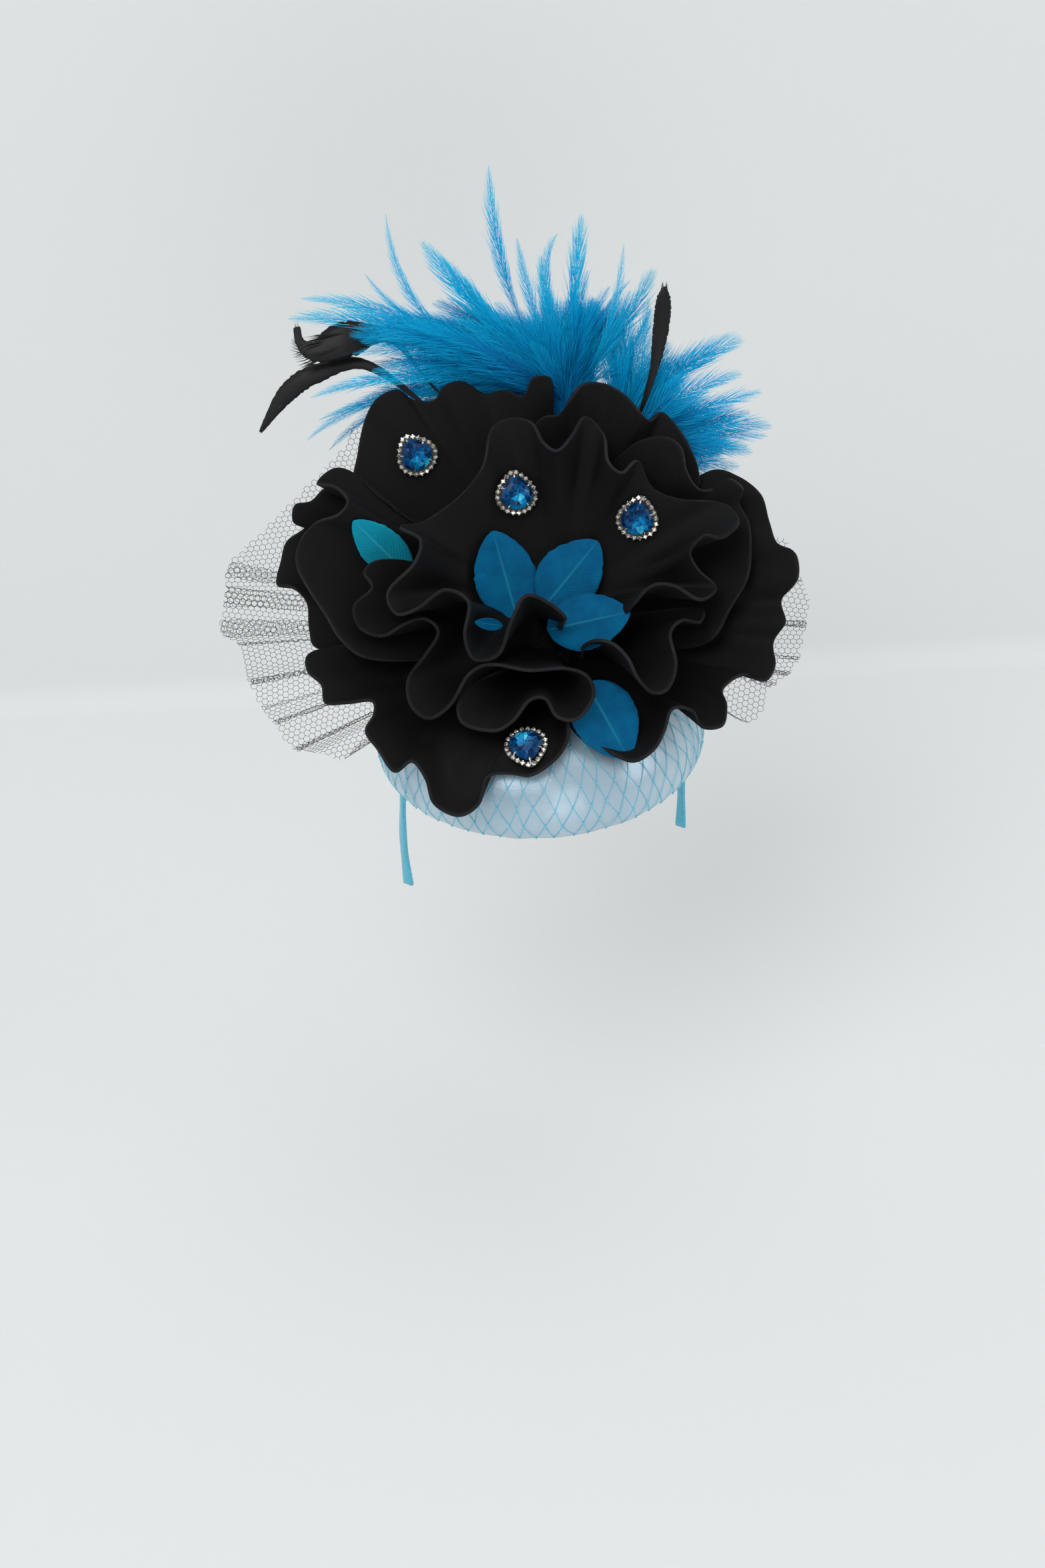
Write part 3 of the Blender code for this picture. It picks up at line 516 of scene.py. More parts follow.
def face_points(points):
    """Places in the flower's frame (across, up, out) as points in metres."""
    across, up, out = (np.asarray(points, float)[..., axis] for axis in range(3))
    eye_out = EYE_DISTANCE / MM
    scale = (eye_out - out) / (eye_out - TRUE_SIZE_OUT)
    seen_across = (across + FLOWER_MIDDLE[0]) * scale
    seen_up = (up + FLOWER_MIDDLE[1]) * scale
    x = seen_across * math.cos(FACE_LEAN) + seen_up * math.sin(FACE_LEAN)
    rise = seen_up * math.cos(FACE_LEAN) - seen_across * math.sin(FACE_LEAN)
    y = rise * math.sin(FACE_TILT) - out * math.cos(FACE_TILT)
    z = rise * math.cos(FACE_TILT) + out * math.sin(FACE_TILT)
    return np.stack([x, y, z], axis=-1) * MM


def face_point(across, up, out):
    return Vector(face_points((across, up, out)))


# How far out the base's skin reaches behind each place of the flower's face, on a grid, with a slope
# from its outline down to nothing so that what hangs over it has no step.
DRAPE_GRID = 3.0
DRAPE_SLOPE = 2.0
grid_across, grid_up = np.meshgrid(
    np.arange(-160, 140, DRAPE_GRID), np.arange(-120, 70, DRAPE_GRID), indexing="ij"
)
depths = np.arange(120.0, -1.0, -1.0)
probe = face_points(
    np.stack(np.broadcast_arrays(grid_across[..., None], grid_up[..., None], depths), axis=-1)
) / MM
profile_radii, profile_heights = zip(*BASE_PROFILE[::-1])
probe_reach = np.interp(probe[..., 2], profile_heights, profile_radii)
probe_spare = np.hypot(probe[..., 0], probe[..., 1]) - probe_reach
probe_spare = np.where(probe[..., 2] > profile_heights[-1], 50.0, probe_spare)
inside = probe_spare < 0
first_inside = np.argmax(inside, axis=-1)
base_skin = np.where(inside.any(axis=-1), depths[first_inside], -200.0)
flat_skin = base_skin.ravel()
flat_places = np.stack([grid_across.ravel(), grid_up.ravel()], axis=1)
hit = flat_skin > -100
sloped_skin = []
for place in flat_places:
    away = np.linalg.norm(flat_places[hit] - place, axis=1)
    sloped_skin.append(np.max(flat_skin[hit] - DRAPE_SLOPE * away))
base_skin = np.array(sloped_skin).reshape(base_skin.shape)


def base_front(across, up):
    """The base's skin at these places of the flower's face, in millimetres out."""
    i = np.clip((np.asarray(across) - grid_across[0, 0]) / DRAPE_GRID, 0, base_skin.shape[0] - 1.001)
    j = np.clip((np.asarray(up) - grid_up[0, 0]) / DRAPE_GRID, 0, base_skin.shape[1] - 1.001)
    low_i, low_j = i.astype(int), j.astype(int)
    s, t = i - low_i, j - low_j
    low = base_skin[low_i, low_j] * (1 - t) + base_skin[low_i, low_j + 1] * t
    high = base_skin[low_i + 1, low_j] * (1 - t) + base_skin[low_i + 1, low_j + 1] * t
    return low * (1 - s) + high * s


def draped(places, drape):
    """How far out a sheet has to lie at these places to clear the base."""
    return base_front(places[:, 0], places[:, 1]) + DRAPE_CLEARANCE + STACK_PITCH * drape


def smoothed(curve, reach):
    """The closed curve averaged over reach points each way, which takes its ruffles out."""
    total = sum(np.roll(curve, shift, axis=0) for shift in range(-reach, reach + 1))
    return total / (2 * reach + 1)


def whole_rim(rows, pad, stack_out):
    """The rim's rows, closed round the pad from the last row back to the first."""
    (pad_across, pad_up), (radius_across, radius_up) = pad
    first, last = (math.atan2(row[1] - pad_up, row[0] - pad_across) for row in (rows[0], rows[-1]))
    turn = (first - last) % (2 * math.pi)
    steps = max(1, round(turn / 0.9))
    closing = []
    for index in range(steps):
        bearing = last + turn * (index + 0.5) / steps
        across = pad_across + PAD_MARGIN * radius_across * math.cos(bearing)
        closing.append((across, pad_up + PAD_MARGIN * radius_up * math.sin(bearing), stack_out))
    return (*rows, *closing)


def sheet_levels(rim_rows, stack_out, pad, drape):
    """Rings of places from a sheet's flat pad to its ruffled rim, clear of the base below."""
    rim = curve_through(rim_rows, len(rim_rows) * PETAL_SAMPLES, True)
    calm = smoothed(rim, 3 * PETAL_SAMPLES)
    (pad_across, pad_up), (radius_across, radius_up) = pad
    bearing = np.arctan2(calm[:, 1] - pad_up, calm[:, 0] - pad_across)
    pad_edge = np.stack(
        [
            pad_across + radius_across * np.cos(bearing),
            pad_up + radius_up * np.sin(bearing),
            np.full(len(rim), stack_out),
        ],
        axis=1,
    )
    rings = [pad_edge]
    for v in PETAL_LEVELS:
        level = pad_edge + v * (calm - pad_edge) + v**FADE * (rim - calm)
        level[:, 2] = stack_out + v**BOWL * (calm[:, 2] - stack_out) + v**FADE * (rim - calm)[:, 2]
        lifted = draped(level, drape)
        spread = np.sqrt((level[:, 2] - lifted) ** 2 + DRAPE_BLEND**2) - DRAPE_BLEND
        level[:, 2] = 0.5 * (level[:, 2] + lifted + spread)
        rings.append(level)
    return rings


def set_attribute(mesh, name, values, domain="POINT"):
    layer = mesh.attributes.new(name, "FLOAT", domain)
    layer.data.foreach_set("value", np.asarray(values, np.float32))


def petal_piece(name, rows, stack_out, pad, drape):
    rings = sheet_levels(rows, stack_out, pad, drape)
    count = len(rings[0])
    places = [(*pad[0], stack_out)] + [tuple(p) for ring in rings for p in ring]
    faces = [(0, 1 + i, 1 + (i + 1) % count) for i in range(count)]
    for ring in range(len(rings) - 1):
        for i in range(count):
            j = (i + 1) % count
            inner, outer = 1 + ring * count, 1 + (ring + 1) * count
            faces.append((inner + i, outer + i, outer + j, inner + j))
    piece = put(name, plain_mesh(name, face_points(places), faces))
    # The rim ring, for the cut edge's grey and its painted highlight
    edge = np.zeros(len(places))
    edge[-count:] = 1.0
    set_attribute(piece.data, "cut_edge_highlight", edge)
    # Each ring's share of the way to the rim, which paints the sheen on the ruffles
    set_attribute(piece.data, "rim_sheen", np.concatenate([[0.0], np.repeat([0.0, *PETAL_LEVELS], count)]))
    piece.data.shade_smooth()
    return thicken(piece, FOAM)


def attribute(tree, name):
    reader = tree.nodes.new("ShaderNodeAttribute")
    reader.attribute_name = name
    return reader.outputs["Fac"]


def mixed(tree, factor, first, second):
    """A colour between two, each a colour or another node's output."""
    blend = tree.nodes.new("ShaderNodeMix")
    blend.data_type = "RGBA"
    link(tree, factor, blend.inputs[0])
    for socket, colour in ((blend.inputs[6], first), (blend.inputs[7], second)):
        if isinstance(colour, tuple):
            socket.default_value = (*colour, 1)
        else:
            link(tree, colour, socket)
    return blend.outputs[2]


# The foam's finish: clouds of two blacks, a painted sheen that pales the face towards its ruffled rim,
# and a greyer cut edge that is partly the foam's own grey and partly a painted highlight
foam, foam_tree, foam_shader = new_material(
    "black_foam", Specular_IOR_Level=0.12, Sheen_Weight=0.01, Sheen_Roughness=0.5
)
foam_cloud = noise(foam_tree, 55.0, 4.0)
foam_face = ramp(foam_tree, foam_cloud, (0.35, (0.0018, 0.0018, 0.0021)), (0.75, (0.0034, 0.0034, 0.0038)))
# The cut edge's grey: partly the foam's own, partly a painted highlight along the rim, broken up by the cloud
edge_highlight_mask = maths(foam_tree, "POWER", attribute(foam_tree, "cut_edge_highlight"), 3.0)
edge_highlight_mask = maths(foam_tree, "MULTIPLY", edge_highlight_mask, maths(foam_tree, "MULTIPLY_ADD", foam_cloud, 2.6, -0.7))
# Painted sheen: the face pales towards the ruffled rim, where light catches the crests
crest_sheen_mask = maths(foam_tree, "POWER", attribute(foam_tree, "rim_sheen"), 4.0)
foam_painted_sheen = mixed(foam_tree, crest_sheen_mask, foam_face, (0.0065, 0.0065, 0.007))
foam_edge_highlight = mixed(foam_tree, edge_highlight_mask, foam_painted_sheen, (0.02, 0.02, 0.022))
link(foam_tree, foam_edge_highlight, foam_shader.inputs["Base Color"])
bump(foam_tree, foam_shader, noise(foam_tree, 1400.0, 2.0), 0.00012)
link(foam_tree, maths(foam_tree, "MULTIPLY_ADD", foam_cloud, 0.15, 0.52), foam_shader.inputs["Roughness"])

petals = {}
for level, (name, rows, pad, drape) in enumerate(SHEETS):
    if not name.startswith("petal"):
        continue
    stack_out = STACK_FIRST + STACK_PITCH * level
    whole = rows if pad is PAD_CENTRE else whole_rim(rows, pad, stack_out)
    petal = petal_piece(name.replace("petal", "foam"), whole, stack_out, pad, drape)
    petal.data.materials.append(foam)
    ride(petal, "black_foam", name)
    petals[name] = petal

# The leaf pads
# Trimmed feather pads, dyed turquoise and glued to the petals: a soft quill down the middle and barbs
# that run out from it at a slant. Their tips are a little ragged.
LEAF_THICKNESS = 0.5
LEAF_CUP = 1.2
LEAF_LENGTHWAYS = np.linspace(0.0, 1.0, 25)
LEAF_CROSSWAYS = (-1.0, -0.85, -0.65, -0.45, -0.25, -0.06, 0.0, 0.06, 0.25, 0.45, 0.65, 0.85, 1.0)
LEAF_RIB = 0.35
LEAF_SLANT = 0.9
STACK_STEP = 1.3
LEAF_SLOPE = 0.35
# Share of a leaf, from its root, that may be tucked under a ruffle, and how high a petal counts as one
LEAF_TUCKED = 0.45
LEAF_CLEAR = 3.5
# Leaf pads: petal, root, tip (across, up), width, layers of pads below it
LEAVES = (
    ("petal_left", (-73, 20), (-101, 47), 21, 0),
    ("petal_centre", (-20, -1), (-32, 42), 31, 0),
    ("petal_centre", (-7, 4), (20, 37), 31, 1),
    ("petal_centre", (-5, -7), (36, 2), 28, 1.5),
    ("petal_centre", (-27, -5), (-41, -3), 6, 2),
    ("petal_right", (14, -33), (35, -70), 32, 0),
)
BARB_FINENESS = 11.0
# How far out the rays start that find a petal's face, and where they pass the ruffles before it
LEAF_RAY = 80.0
FAR_RAYS = {"petal_right": 110.0, "petal_front_low": 110.0}

FACE_UP = (face_point(0, 1, 0) - face_point(0, 0, 0)).normalized()
FACE_ACROSS = (face_point(1, 0, 0) - face_point(0, 0, 0)).normalized()
EYE = FACE_OUT * EYE_DISTANCE


def surface_tree(piece):
    bm = bmesh.new()
    bm.from_mesh(piece.data)
    tree = BVHTree.FromBMesh(bm)
    bm.free()
    return tree


def seat(tree, across, up, start):
    """Where a line into the flower at this place meets a petal, and the surface's direction there."""
    from_point = face_point(across, up, start)
    place, normal, _, _ = tree.ray_cast(from_point, (from_point - EYE).normalized())
    if place is None:
        return None, None
    if normal.dot(FACE_OUT) < 0:
        normal = -normal
    return place, normal


def new_group(name, inputs, outputs):
    group = bpy.data.node_groups.new(name, "ShaderNodeTree")
    for label, kind, value in inputs:
        socket = group.interface.new_socket(label, in_out="INPUT", socket_type=kind)
        socket.default_value = value
    for label, kind in outputs:
        group.interface.new_socket(label, in_out="OUTPUT", socket_type=kind)
    return group, group.nodes.new("NodeGroupInput"), group.nodes.new("NodeGroupOutput")


def use_group(tree, group, **inputs):
    made = tree.nodes.new("ShaderNodeGroup")
    made.node_tree = group
    set_inputs(made, inputs)
    return made


def vane_group():
    """Barbs of a feather: streaks across the distance along the quill, with a slow change of tone."""
    group, inside, outside = new_group(
        "feather_barbs",
        (
            ("Along", "NodeSocketFloat", 0.0),
            ("Fineness", "NodeSocketFloat", 8.0),
            ("Dark", "NodeSocketColor", (0, 0, 0, 1)),
            ("Light", "NodeSocketColor", (1, 1, 1, 1)),
        ),
        (("Color", "NodeSocketColor"), ("Height", "NodeSocketFloat")),
    )
    cloud = noise(group, 120.0, 2.0)
    phase = maths(group, "MULTIPLY", inside.outputs["Along"], inside.outputs["Fineness"])
    streak = maths(group, "SINE", maths(group, "MULTIPLY_ADD", cloud, 9.0, phase))
    share = maths(group, "MULTIPLY_ADD", streak, 0.22, cloud)
    tones = mixed(group, share, inside.outputs["Dark"], inside.outputs["Light"])
    link(group, tones, outside.inputs["Color"])
    link(group, streak, outside.inputs["Height"])
    return group


feather_barbs = vane_group()


def vane_look(name, dark, light, quill, roughness):
    """A feather's finish: slanting barbs in two tones, and the paler quill."""
    look, tree, shader = new_material(name, Roughness=roughness, Specular_IOR_Level=0.12)
    barbs = use_group(tree, feather_barbs, Fineness=BARB_FINENESS, Dark=(*dark, 1), Light=(*light, 1))
    link(tree, attribute(tree, "vane"), barbs.inputs["Along"])
    colour = mixed(tree, attribute(tree, "rib"), barbs.outputs["Color"], quill)
    link(tree, colour, shader.inputs["Base Color"])
    bump(tree, shader, barbs.outputs["Height"], 0.0001)
    return look


leaf_look = vane_look("turquoise_feather_pad", (0.0, 0.09, 0.24), (0.0, 0.20, 0.42), (0.02, 0.31, 0.50), 0.6)
leaf_pale = vane_look("pale_feather_pad", (0.001, 0.32, 0.50), (0.01, 0.46, 0.64), (0.08, 0.56, 0.72), 0.55)

for number, (petal, root, tip, width, below) in enumerate(LEAVES, 1):
    tree = surface_tree(petals[petal])
    start = FAR_RAYS.get(petal, LEAF_RAY)
    length = math.dist(root, tip)
    along = ((tip[0] - root[0]) / length, (tip[1] - root[1]) / length)
    side = (along[1], -along[0])
    ragged = np.random.default_rng(number).normal(0.0, 0.007, (len(LEAF_LENGTHWAYS), 2))
    leaf_grid = []
    for index, t in enumerate(LEAF_LENGTHWAYS):
        half = 0.5 * width * max(0.06, math.sin(math.pi * t**0.85) ** 0.62)
        for s in LEAF_CROSSWAYS:
            rough = 1 + ragged[index, int(s > 0)] * abs(s) * (1 + 2 * t)
            across = root[0] + along[0] * length * t + side[0] * half * s * rough
            up = root[1] + along[1] * length * t + side[1] * half * s * rough
            place, _ = seat(tree, across, up, start)
            leaf_grid.append((across, up, None if place is None else place.dot(FACE_OUT) / MM, s, t, half))
    known = [p for p in leaf_grid if p[2] is not None]
    terms = np.array([[1.0, p[0], p[1]] for p in known])
    outs = np.array([p[2] for p in known])
    outer = np.array([p[4] > LEAF_TUCKED for p in known])
    plane = np.linalg.lstsq(terms[outer], outs[outer], rcond=None)[0]
    plane[1:] = np.clip(plane[1:], -LEAF_SLOPE, LEAF_SLOPE)
    plane[0] = np.mean((outs - terms[:, 1:] @ plane[1:])[outer])
    above = outs - terms @ plane
    spare = float(np.max(above[above < LEAF_CLEAR]))
    lift = spare + 0.5 * LEAF_THICKNESS + 0.15 + below * STACK_STEP
    leaf_places = []
    for a, u, _, s, t, _ in leaf_grid:
        rib = LEAF_RIB * (1 - t) if s == 0 else 0.0
        leaf_places.append(
            (a, u, float(np.dot(plane, (1.0, a, u))) + lift + LEAF_CUP * s * s * math.sin(math.pi * t) + rib)
        )
    faces = grid_faces(len(LEAF_LENGTHWAYS), len(LEAF_CROSSWAYS))
    name = f"leaf_pad_{number}"
    leaf = put(name, plain_mesh(name, face_points(leaf_places), faces))
    set_attribute(leaf.data, "vane", [p[4] * length - LEAF_SLANT * abs(p[3]) * p[5] for p in leaf_grid])
    set_attribute(leaf.data, "rib", [(1.0 - 0.5 * p[4]) * (p[3] == 0) for p in leaf_grid])
    thicken(leaf, LEAF_THICKNESS)
    leaf.data.shade_smooth()
    leaf.data.materials.append(leaf_pale if petal == "petal_left" else leaf_look)
    ride(leaf, "feather_pad", f"feather_leaf_{number}")

# The jewels
# Pear-shaped sew-on stones of blue glass with a foiled back, each in a claw setting with a ring of
# small clear crystals in their own cups. They are sewn to the petals through the setting's edge.
# Jewels: the petal that each is sewn to, its middle and the way its point looks (across, up)
JEWELS = (
    ("petal_back_left", (-70, 80), (-0.55, 0.83)),
    ("petal_centre", (-21, 61), (-0.15, 1.0)),
    ("petal_centre", (40, 49), (0.2, 1.0)),
    ("petal_front_low", (-15, -66), (0.25, -1.0)),
)
JEWEL_LENGTH = 22.0
JEWEL_WIDTH = 18.5
JEWEL_PLATE = 1.4
CRYSTALS = 21
CRYSTAL_RADIUS = 1.25
STONE_SCALE = 0.74
STONE_HEIGHT = 4.2
STONE_FACETS = 14
STONE_RINGS = ((0.72, 0.0), (1.0, 0.34), (1.0, 0.44), (0.80, 0.78), (0.52, 1.0))
CLAW_BEARINGS = (0.0, 70.0, 145.0, 215.0, 290.0)
# The plate's rings (how much smaller than the jewel, height), a crystal's (radius, turn, height) and a
# claw's (place as a share of the stone's outline, height, radius)
PLATE_ROWS = ((1.6, 0.0), (0.6, 0.3), (0.6, 0.8), (1.4, 1.1))
CRYSTAL_ROWS = ((0.45, 0.0, 0.0), (0.9, 0.5, 0.55), (0.92, 0.5, 0.7), (0.52, 0.0, 1.15))
CLAW_ROWS = ((1.06, 0.6, 0.55), (1.08, 2.4, 0.5), (0.98, 3.6, 0.4), (0.86, 4.1, 0.25))
# A crystal's cup, as shares of its radius: each claw's radius, its place, and its ends (share, height)
CUP_CLAW = 0.16
CUP_REACH = 0.86
CUP_ROWS = ((1.0, 0.1), (0.93, 0.98))
# The crystals' ring is this much smaller than the jewel, and they lean outwards
CRYSTAL_INSET = 2.6
CRYSTAL_LEAN = math.radians(12)
# The back facets' inner edge that shows in the table, as a share of the jewel
STONE_INNER = 0.14
JEWEL_GAP = 0.3
JEWEL_RAY = 85.0
# How far round its middle a jewel's petal is felt for its slope, and from how high for its highest spot
SEAT_STEP = 6
SEAT_ABOVE = 12
# The glint painted into a stone's facets: its middle and how wide it spreads
PAINTED_GLINT = (1.5, -4.5)
PAINTED_GLINT_SPREAD = 22.0


def pear_outline(length, width, count, turned=0.0):
    """A pear shape about its middle, with its point along +Y."""
    angle = 2 * math.pi * (np.arange(count) + turned) / count
    taper = 1.0 - 0.30 * np.cos(angle) - 0.12 * np.cos(2 * angle)
    return np.stack([0.5 * width * np.sin(angle) * taper, 0.5 * length * np.cos(angle)], axis=1)


def geometry_group(name, *inputs):
    """An empty Geometry Nodes group with these inputs (label, kind) besides its geometry and finish."""
    group = bpy.data.node_groups.new(name, "GeometryNodeTree")
    for label, kind in (("Geometry", "Geometry"), *inputs, ("Finish", "Material")):
        group.interface.new_socket(label, in_out="INPUT", socket_type=f"NodeSocket{kind}")
    group.interface.new_socket("Geometry", in_out="OUTPUT", socket_type="NodeSocketGeometry")
    return group, group.nodes.new("NodeGroupInput")


def named_attribute(group, name, kind):
    reader = group.nodes.new("GeometryNodeInputNamedAttribute")
    reader.data_type = kind
    reader.inputs["Name"].default_value = name
    return reader.outputs["Attribute"]


def give(group, inside, geometry):
    """Ends a group: what it made becomes plain mesh with its finish."""
    realize = group.nodes.new("GeometryNodeRealizeInstances")
    finish = group.nodes.new("GeometryNodeSetMaterial")
    link(group, geometry, realize.inputs["Geometry"])
    link(group, realize.outputs["Geometry"], finish.inputs["Geometry"])
    link(group, inside.outputs["Finish"], finish.inputs["Material"])
    link(group, finish.outputs["Geometry"], group.nodes.new("NodeGroupOutput").inputs["Geometry"])


def instances_group(name):
    """Geometry nodes that put a shape on each point, turned and sized by the point's attributes."""
    group, inside = geometry_group(name, ("Shape", "Object"))
    shape = group.nodes.new("GeometryNodeObjectInfo")
    to_turn = group.nodes.new("FunctionNodeEulerToRotation")
    place = group.nodes.new("GeometryNodeInstanceOnPoints")
    link(group, inside.outputs["Geometry"], place.inputs["Points"])
    link(group, inside.outputs["Shape"], shape.inputs["Object"])
    link(group, shape.outputs["Geometry"], place.inputs["Instance"])
    link(group, named_attribute(group, "turn", "FLOAT_VECTOR"), to_turn.inputs["Euler"])
    link(group, to_turn.outputs["Rotation"], place.inputs["Rotation"])
    link(group, named_attribute(group, "size", "FLOAT_VECTOR"), place.inputs["Scale"])
    give(group, inside, place.outputs["Instances"])
    return group


placed_shapes = instances_group("placed_shapes")


def run_group(piece, group, **inputs):
    """Applies a Geometry Nodes group to the piece, with its named inputs."""
    modifier = piece.modifiers.new("nodes", "NODES")
    modifier.node_group = group
    for item in group.interface.items_tree:
        if item.in_out == "INPUT" and item.name in inputs:
            modifier[item.identifier] = inputs[item.name]
    return finished(piece)


def placed(name, shape, finish, points, turns, sizes, **extra):
    """A piece of many shapes, one at each point. The extra values are kept as attributes."""
    piece = put(name, plain_mesh(name, points, []))
    for label, values in (("turn", turns), ("size", sizes)):
        layer = piece.data.attributes.new(label, "FLOAT_VECTOR", "POINT")
        layer.data.foreach_set("vector", np.asarray(values, np.float32).ravel())
    for label, values in extra.items():
        set_attribute(piece.data, label, values)
    run_group(piece, placed_shapes, Shape=shape, Finish=finish)
    for label in ("turn", "size"):
        if label in piece.data.attributes:
            piece.data.attributes.remove(piece.data.attributes[label])
    return piece


def joined(name, pieces):
    """One piece from several, whose meshes already have their places and materials."""
    bm = bmesh.new()
    looks = []
    for piece in pieces:
        first = len(bm.faces)
        bm.from_mesh(piece.data)
        bm.faces.ensure_lookup_table()
        slots = []
        for look in piece.data.materials:
            if look not in looks:
                looks.append(look)
            slots.append(looks.index(look))
        for face in bm.faces[first:]:
            face.material_index = slots[face.material_index] if slots else 0
    mesh = bpy.data.meshes.new(name)
    bm.to_mesh(mesh)
    bm.free()
    for look in looks:
        mesh.materials.append(look)
    for piece in pieces:
        bpy.data.objects.remove(piece)
    return put(name, mesh)


def ring_body(rings):
    """Points and faces of a closed body through rings of points, first ring lowest."""
    count = len(rings[0])
    points = np.concatenate(rings)
    faces = grid_faces(len(rings), count, True)
    faces.append(tuple(range(count))[::-1])
    faces.append(tuple(range(len(points) - count, len(points))))
    return points, faces


def at_height(outline, height):
    return np.column_stack([outline, np.full(len(outline), height)])


def circle(radius, count, turned=0.0):
    angle = 2 * math.pi * (np.arange(count) + turned) / count
    return np.stack([radius * np.cos(angle), radius * np.sin(angle)], axis=1)


def jewel_part(name, mesh, look, to_world):
    """A closed part that is modelled about the jewel's own middle."""
    part = put(name, mesh)
    faces_out(part)
    part.data.transform(to_world)
    part.data.materials.append(look)
    return part


crystal_rings = [at_height(circle(radius, 8, turned), height) for radius, turned, height in CRYSTAL_ROWS]
crystal_shape = put("crystal_shape", plain_mesh("crystal_shape", *ring_body(crystal_rings)))
faces_out(crystal_shape)
cup_parts = []
for quarter in range(4):
    bearing = math.pi * quarter / 2
    claw = circle(CUP_CLAW, 5) + CUP_REACH * np.array((math.cos(bearing), math.sin(bearing)))
    cup_parts.append(ring_body([at_height(claw * share, height) for share, height in CUP_ROWS]))
cup_points = np.concatenate([p for p, _ in cup_parts])
cup_faces = []
for index, (points, faces) in enumerate(cup_parts):
    cup_faces += [tuple(v + index * len(points) for v in face) for face in faces]
cup_shape = put("cup_shape", plain_mesh("cup_shape", cup_points, cup_faces))
faces_out(cup_shape)

silver, silver_tree, silver_shader = new_material("champagne_silver", Metallic=1.0)
silver_wear = noise(silver_tree, 600.0, 3.0)
tint(silver_tree, silver_shader, silver_wear, (0.3, (0.62, 0.56, 0.47)), (0.65, (0.86, 0.82, 0.74)))
silver_rough = maths(silver_tree, "MULTIPLY_ADD", silver_wear, 0.2, 0.14)
link(silver_tree, silver_rough, silver_shader.inputs["Roughness"])

plate_look = new_material(
    "tarnished_silver", Base_Color=(0.10, 0.09, 0.075, 1), Metallic=1.0, Roughness=0.35
)[0]

crystal_look, crystal_tree, crystal_shader = new_material(
    "clear_crystal", Metallic=0.55, Roughness=0.06, Coat_Weight=1.0, Coat_Roughness=0.02
)
# Painted sparkle: dark and bright patches in each crystal stand in for the glints and reflections of its
# facets
crystal_sparkle_split = crystal_tree.nodes.new("ShaderNodeSeparateColor")
crystal_sparkle_cells = texture(crystal_tree, "Voronoi", Scale=1300.0)
link(crystal_tree, crystal_sparkle_cells.outputs["Color"], crystal_sparkle_split.inputs["Color"])
tint(
    crystal_tree,
    crystal_shader,
    crystal_sparkle_split.outputs["Red"],
    (0.12, (0.10, 0.09, 0.08)),
    (0.35, (0.55, 0.52, 0.47)),
    (0.7, (0.95, 0.93, 0.88)),
)

# The stones' colour follows each facet's tone, which carries their painted glint and reflections
stone_look, stone_tree, stone_shader = new_material(
    "blue_foiled_glass", Roughness=0.05, Specular_IOR_Level=0.2
)
tint(
    stone_tree,
    stone_shader,
    attribute(stone_tree, "tone"),
    (0.0, (0.0, 0.012, 0.05)),
    (0.3, (0.0, 0.09, 0.28)),
    (0.65, (0.0, 0.30, 0.65)),
    (0.95, (0.15, 0.85, 0.95)),
)


def stone_mesh(name, floor, seed):
    """A pear-cut stone: a belt, two rows of crown facets and a table with the back facets seen in it."""
    chance = np.random.default_rng(seed)
    rings = []
    for index, (scale, height) in enumerate(STONE_RINGS):
        size = STONE_SCALE * scale
        turned = (0.0, 0.0, 0.0, 0.5, 1.0)[index]
        outline = pear_outline(JEWEL_LENGTH * size, JEWEL_WIDTH * size, STONE_FACETS, turned)
        rings.append(at_height(outline, floor + height * STONE_HEIGHT))
    points, _ = ring_body(rings)
    count = STONE_FACETS
    faces = [tuple(range(count))[::-1]]
    for lower in range(len(rings) - 1):
        for i in range(count):
            j = (i + 1) % count
            low, high = lower * count, (lower + 1) * count
            faces += [(low + i, low + j, high + i), (low + j, high + j, high + i)]
    top = (len(rings) - 1) * count
    inner = pear_outline(JEWEL_LENGTH * STONE_INNER, JEWEL_WIDTH * STONE_INNER, count, 0.5)
    inner = at_height(inner, rings[-1][0][2])
    points = np.concatenate([points, inner, [[0.0, 0.0, rings[-1][0][2]]]])
    first_inner, middle = top + count, top + 2 * count
    for i in range(count):
        j = (i + 1) % count
        faces += [(top + i, top + j, first_inner + i), (top + j, first_inner + j, first_inner + i)]
        faces.append((first_inner + i, first_inner + j, middle))
    mesh = plain_mesh(name, points, faces)
    # Painted glint and reflections: each facet's tone is brightest near the glint and random elsewhere,
    # standing in for light off the foil behind
    tones = []
    for face in mesh.polygons:
        away = (face.center.x - PAINTED_GLINT[0]) ** 2 + (face.center.y - PAINTED_GLINT[1]) ** 2
        glint = math.exp(-away / PAINTED_GLINT_SPREAD)
        tones.append(min(1.0, (0.25 + 0.85 * glint) * chance.random() ** (1.6 - glint)))
    set_attribute(mesh, "tone", tones, "FACE")
    return mesh


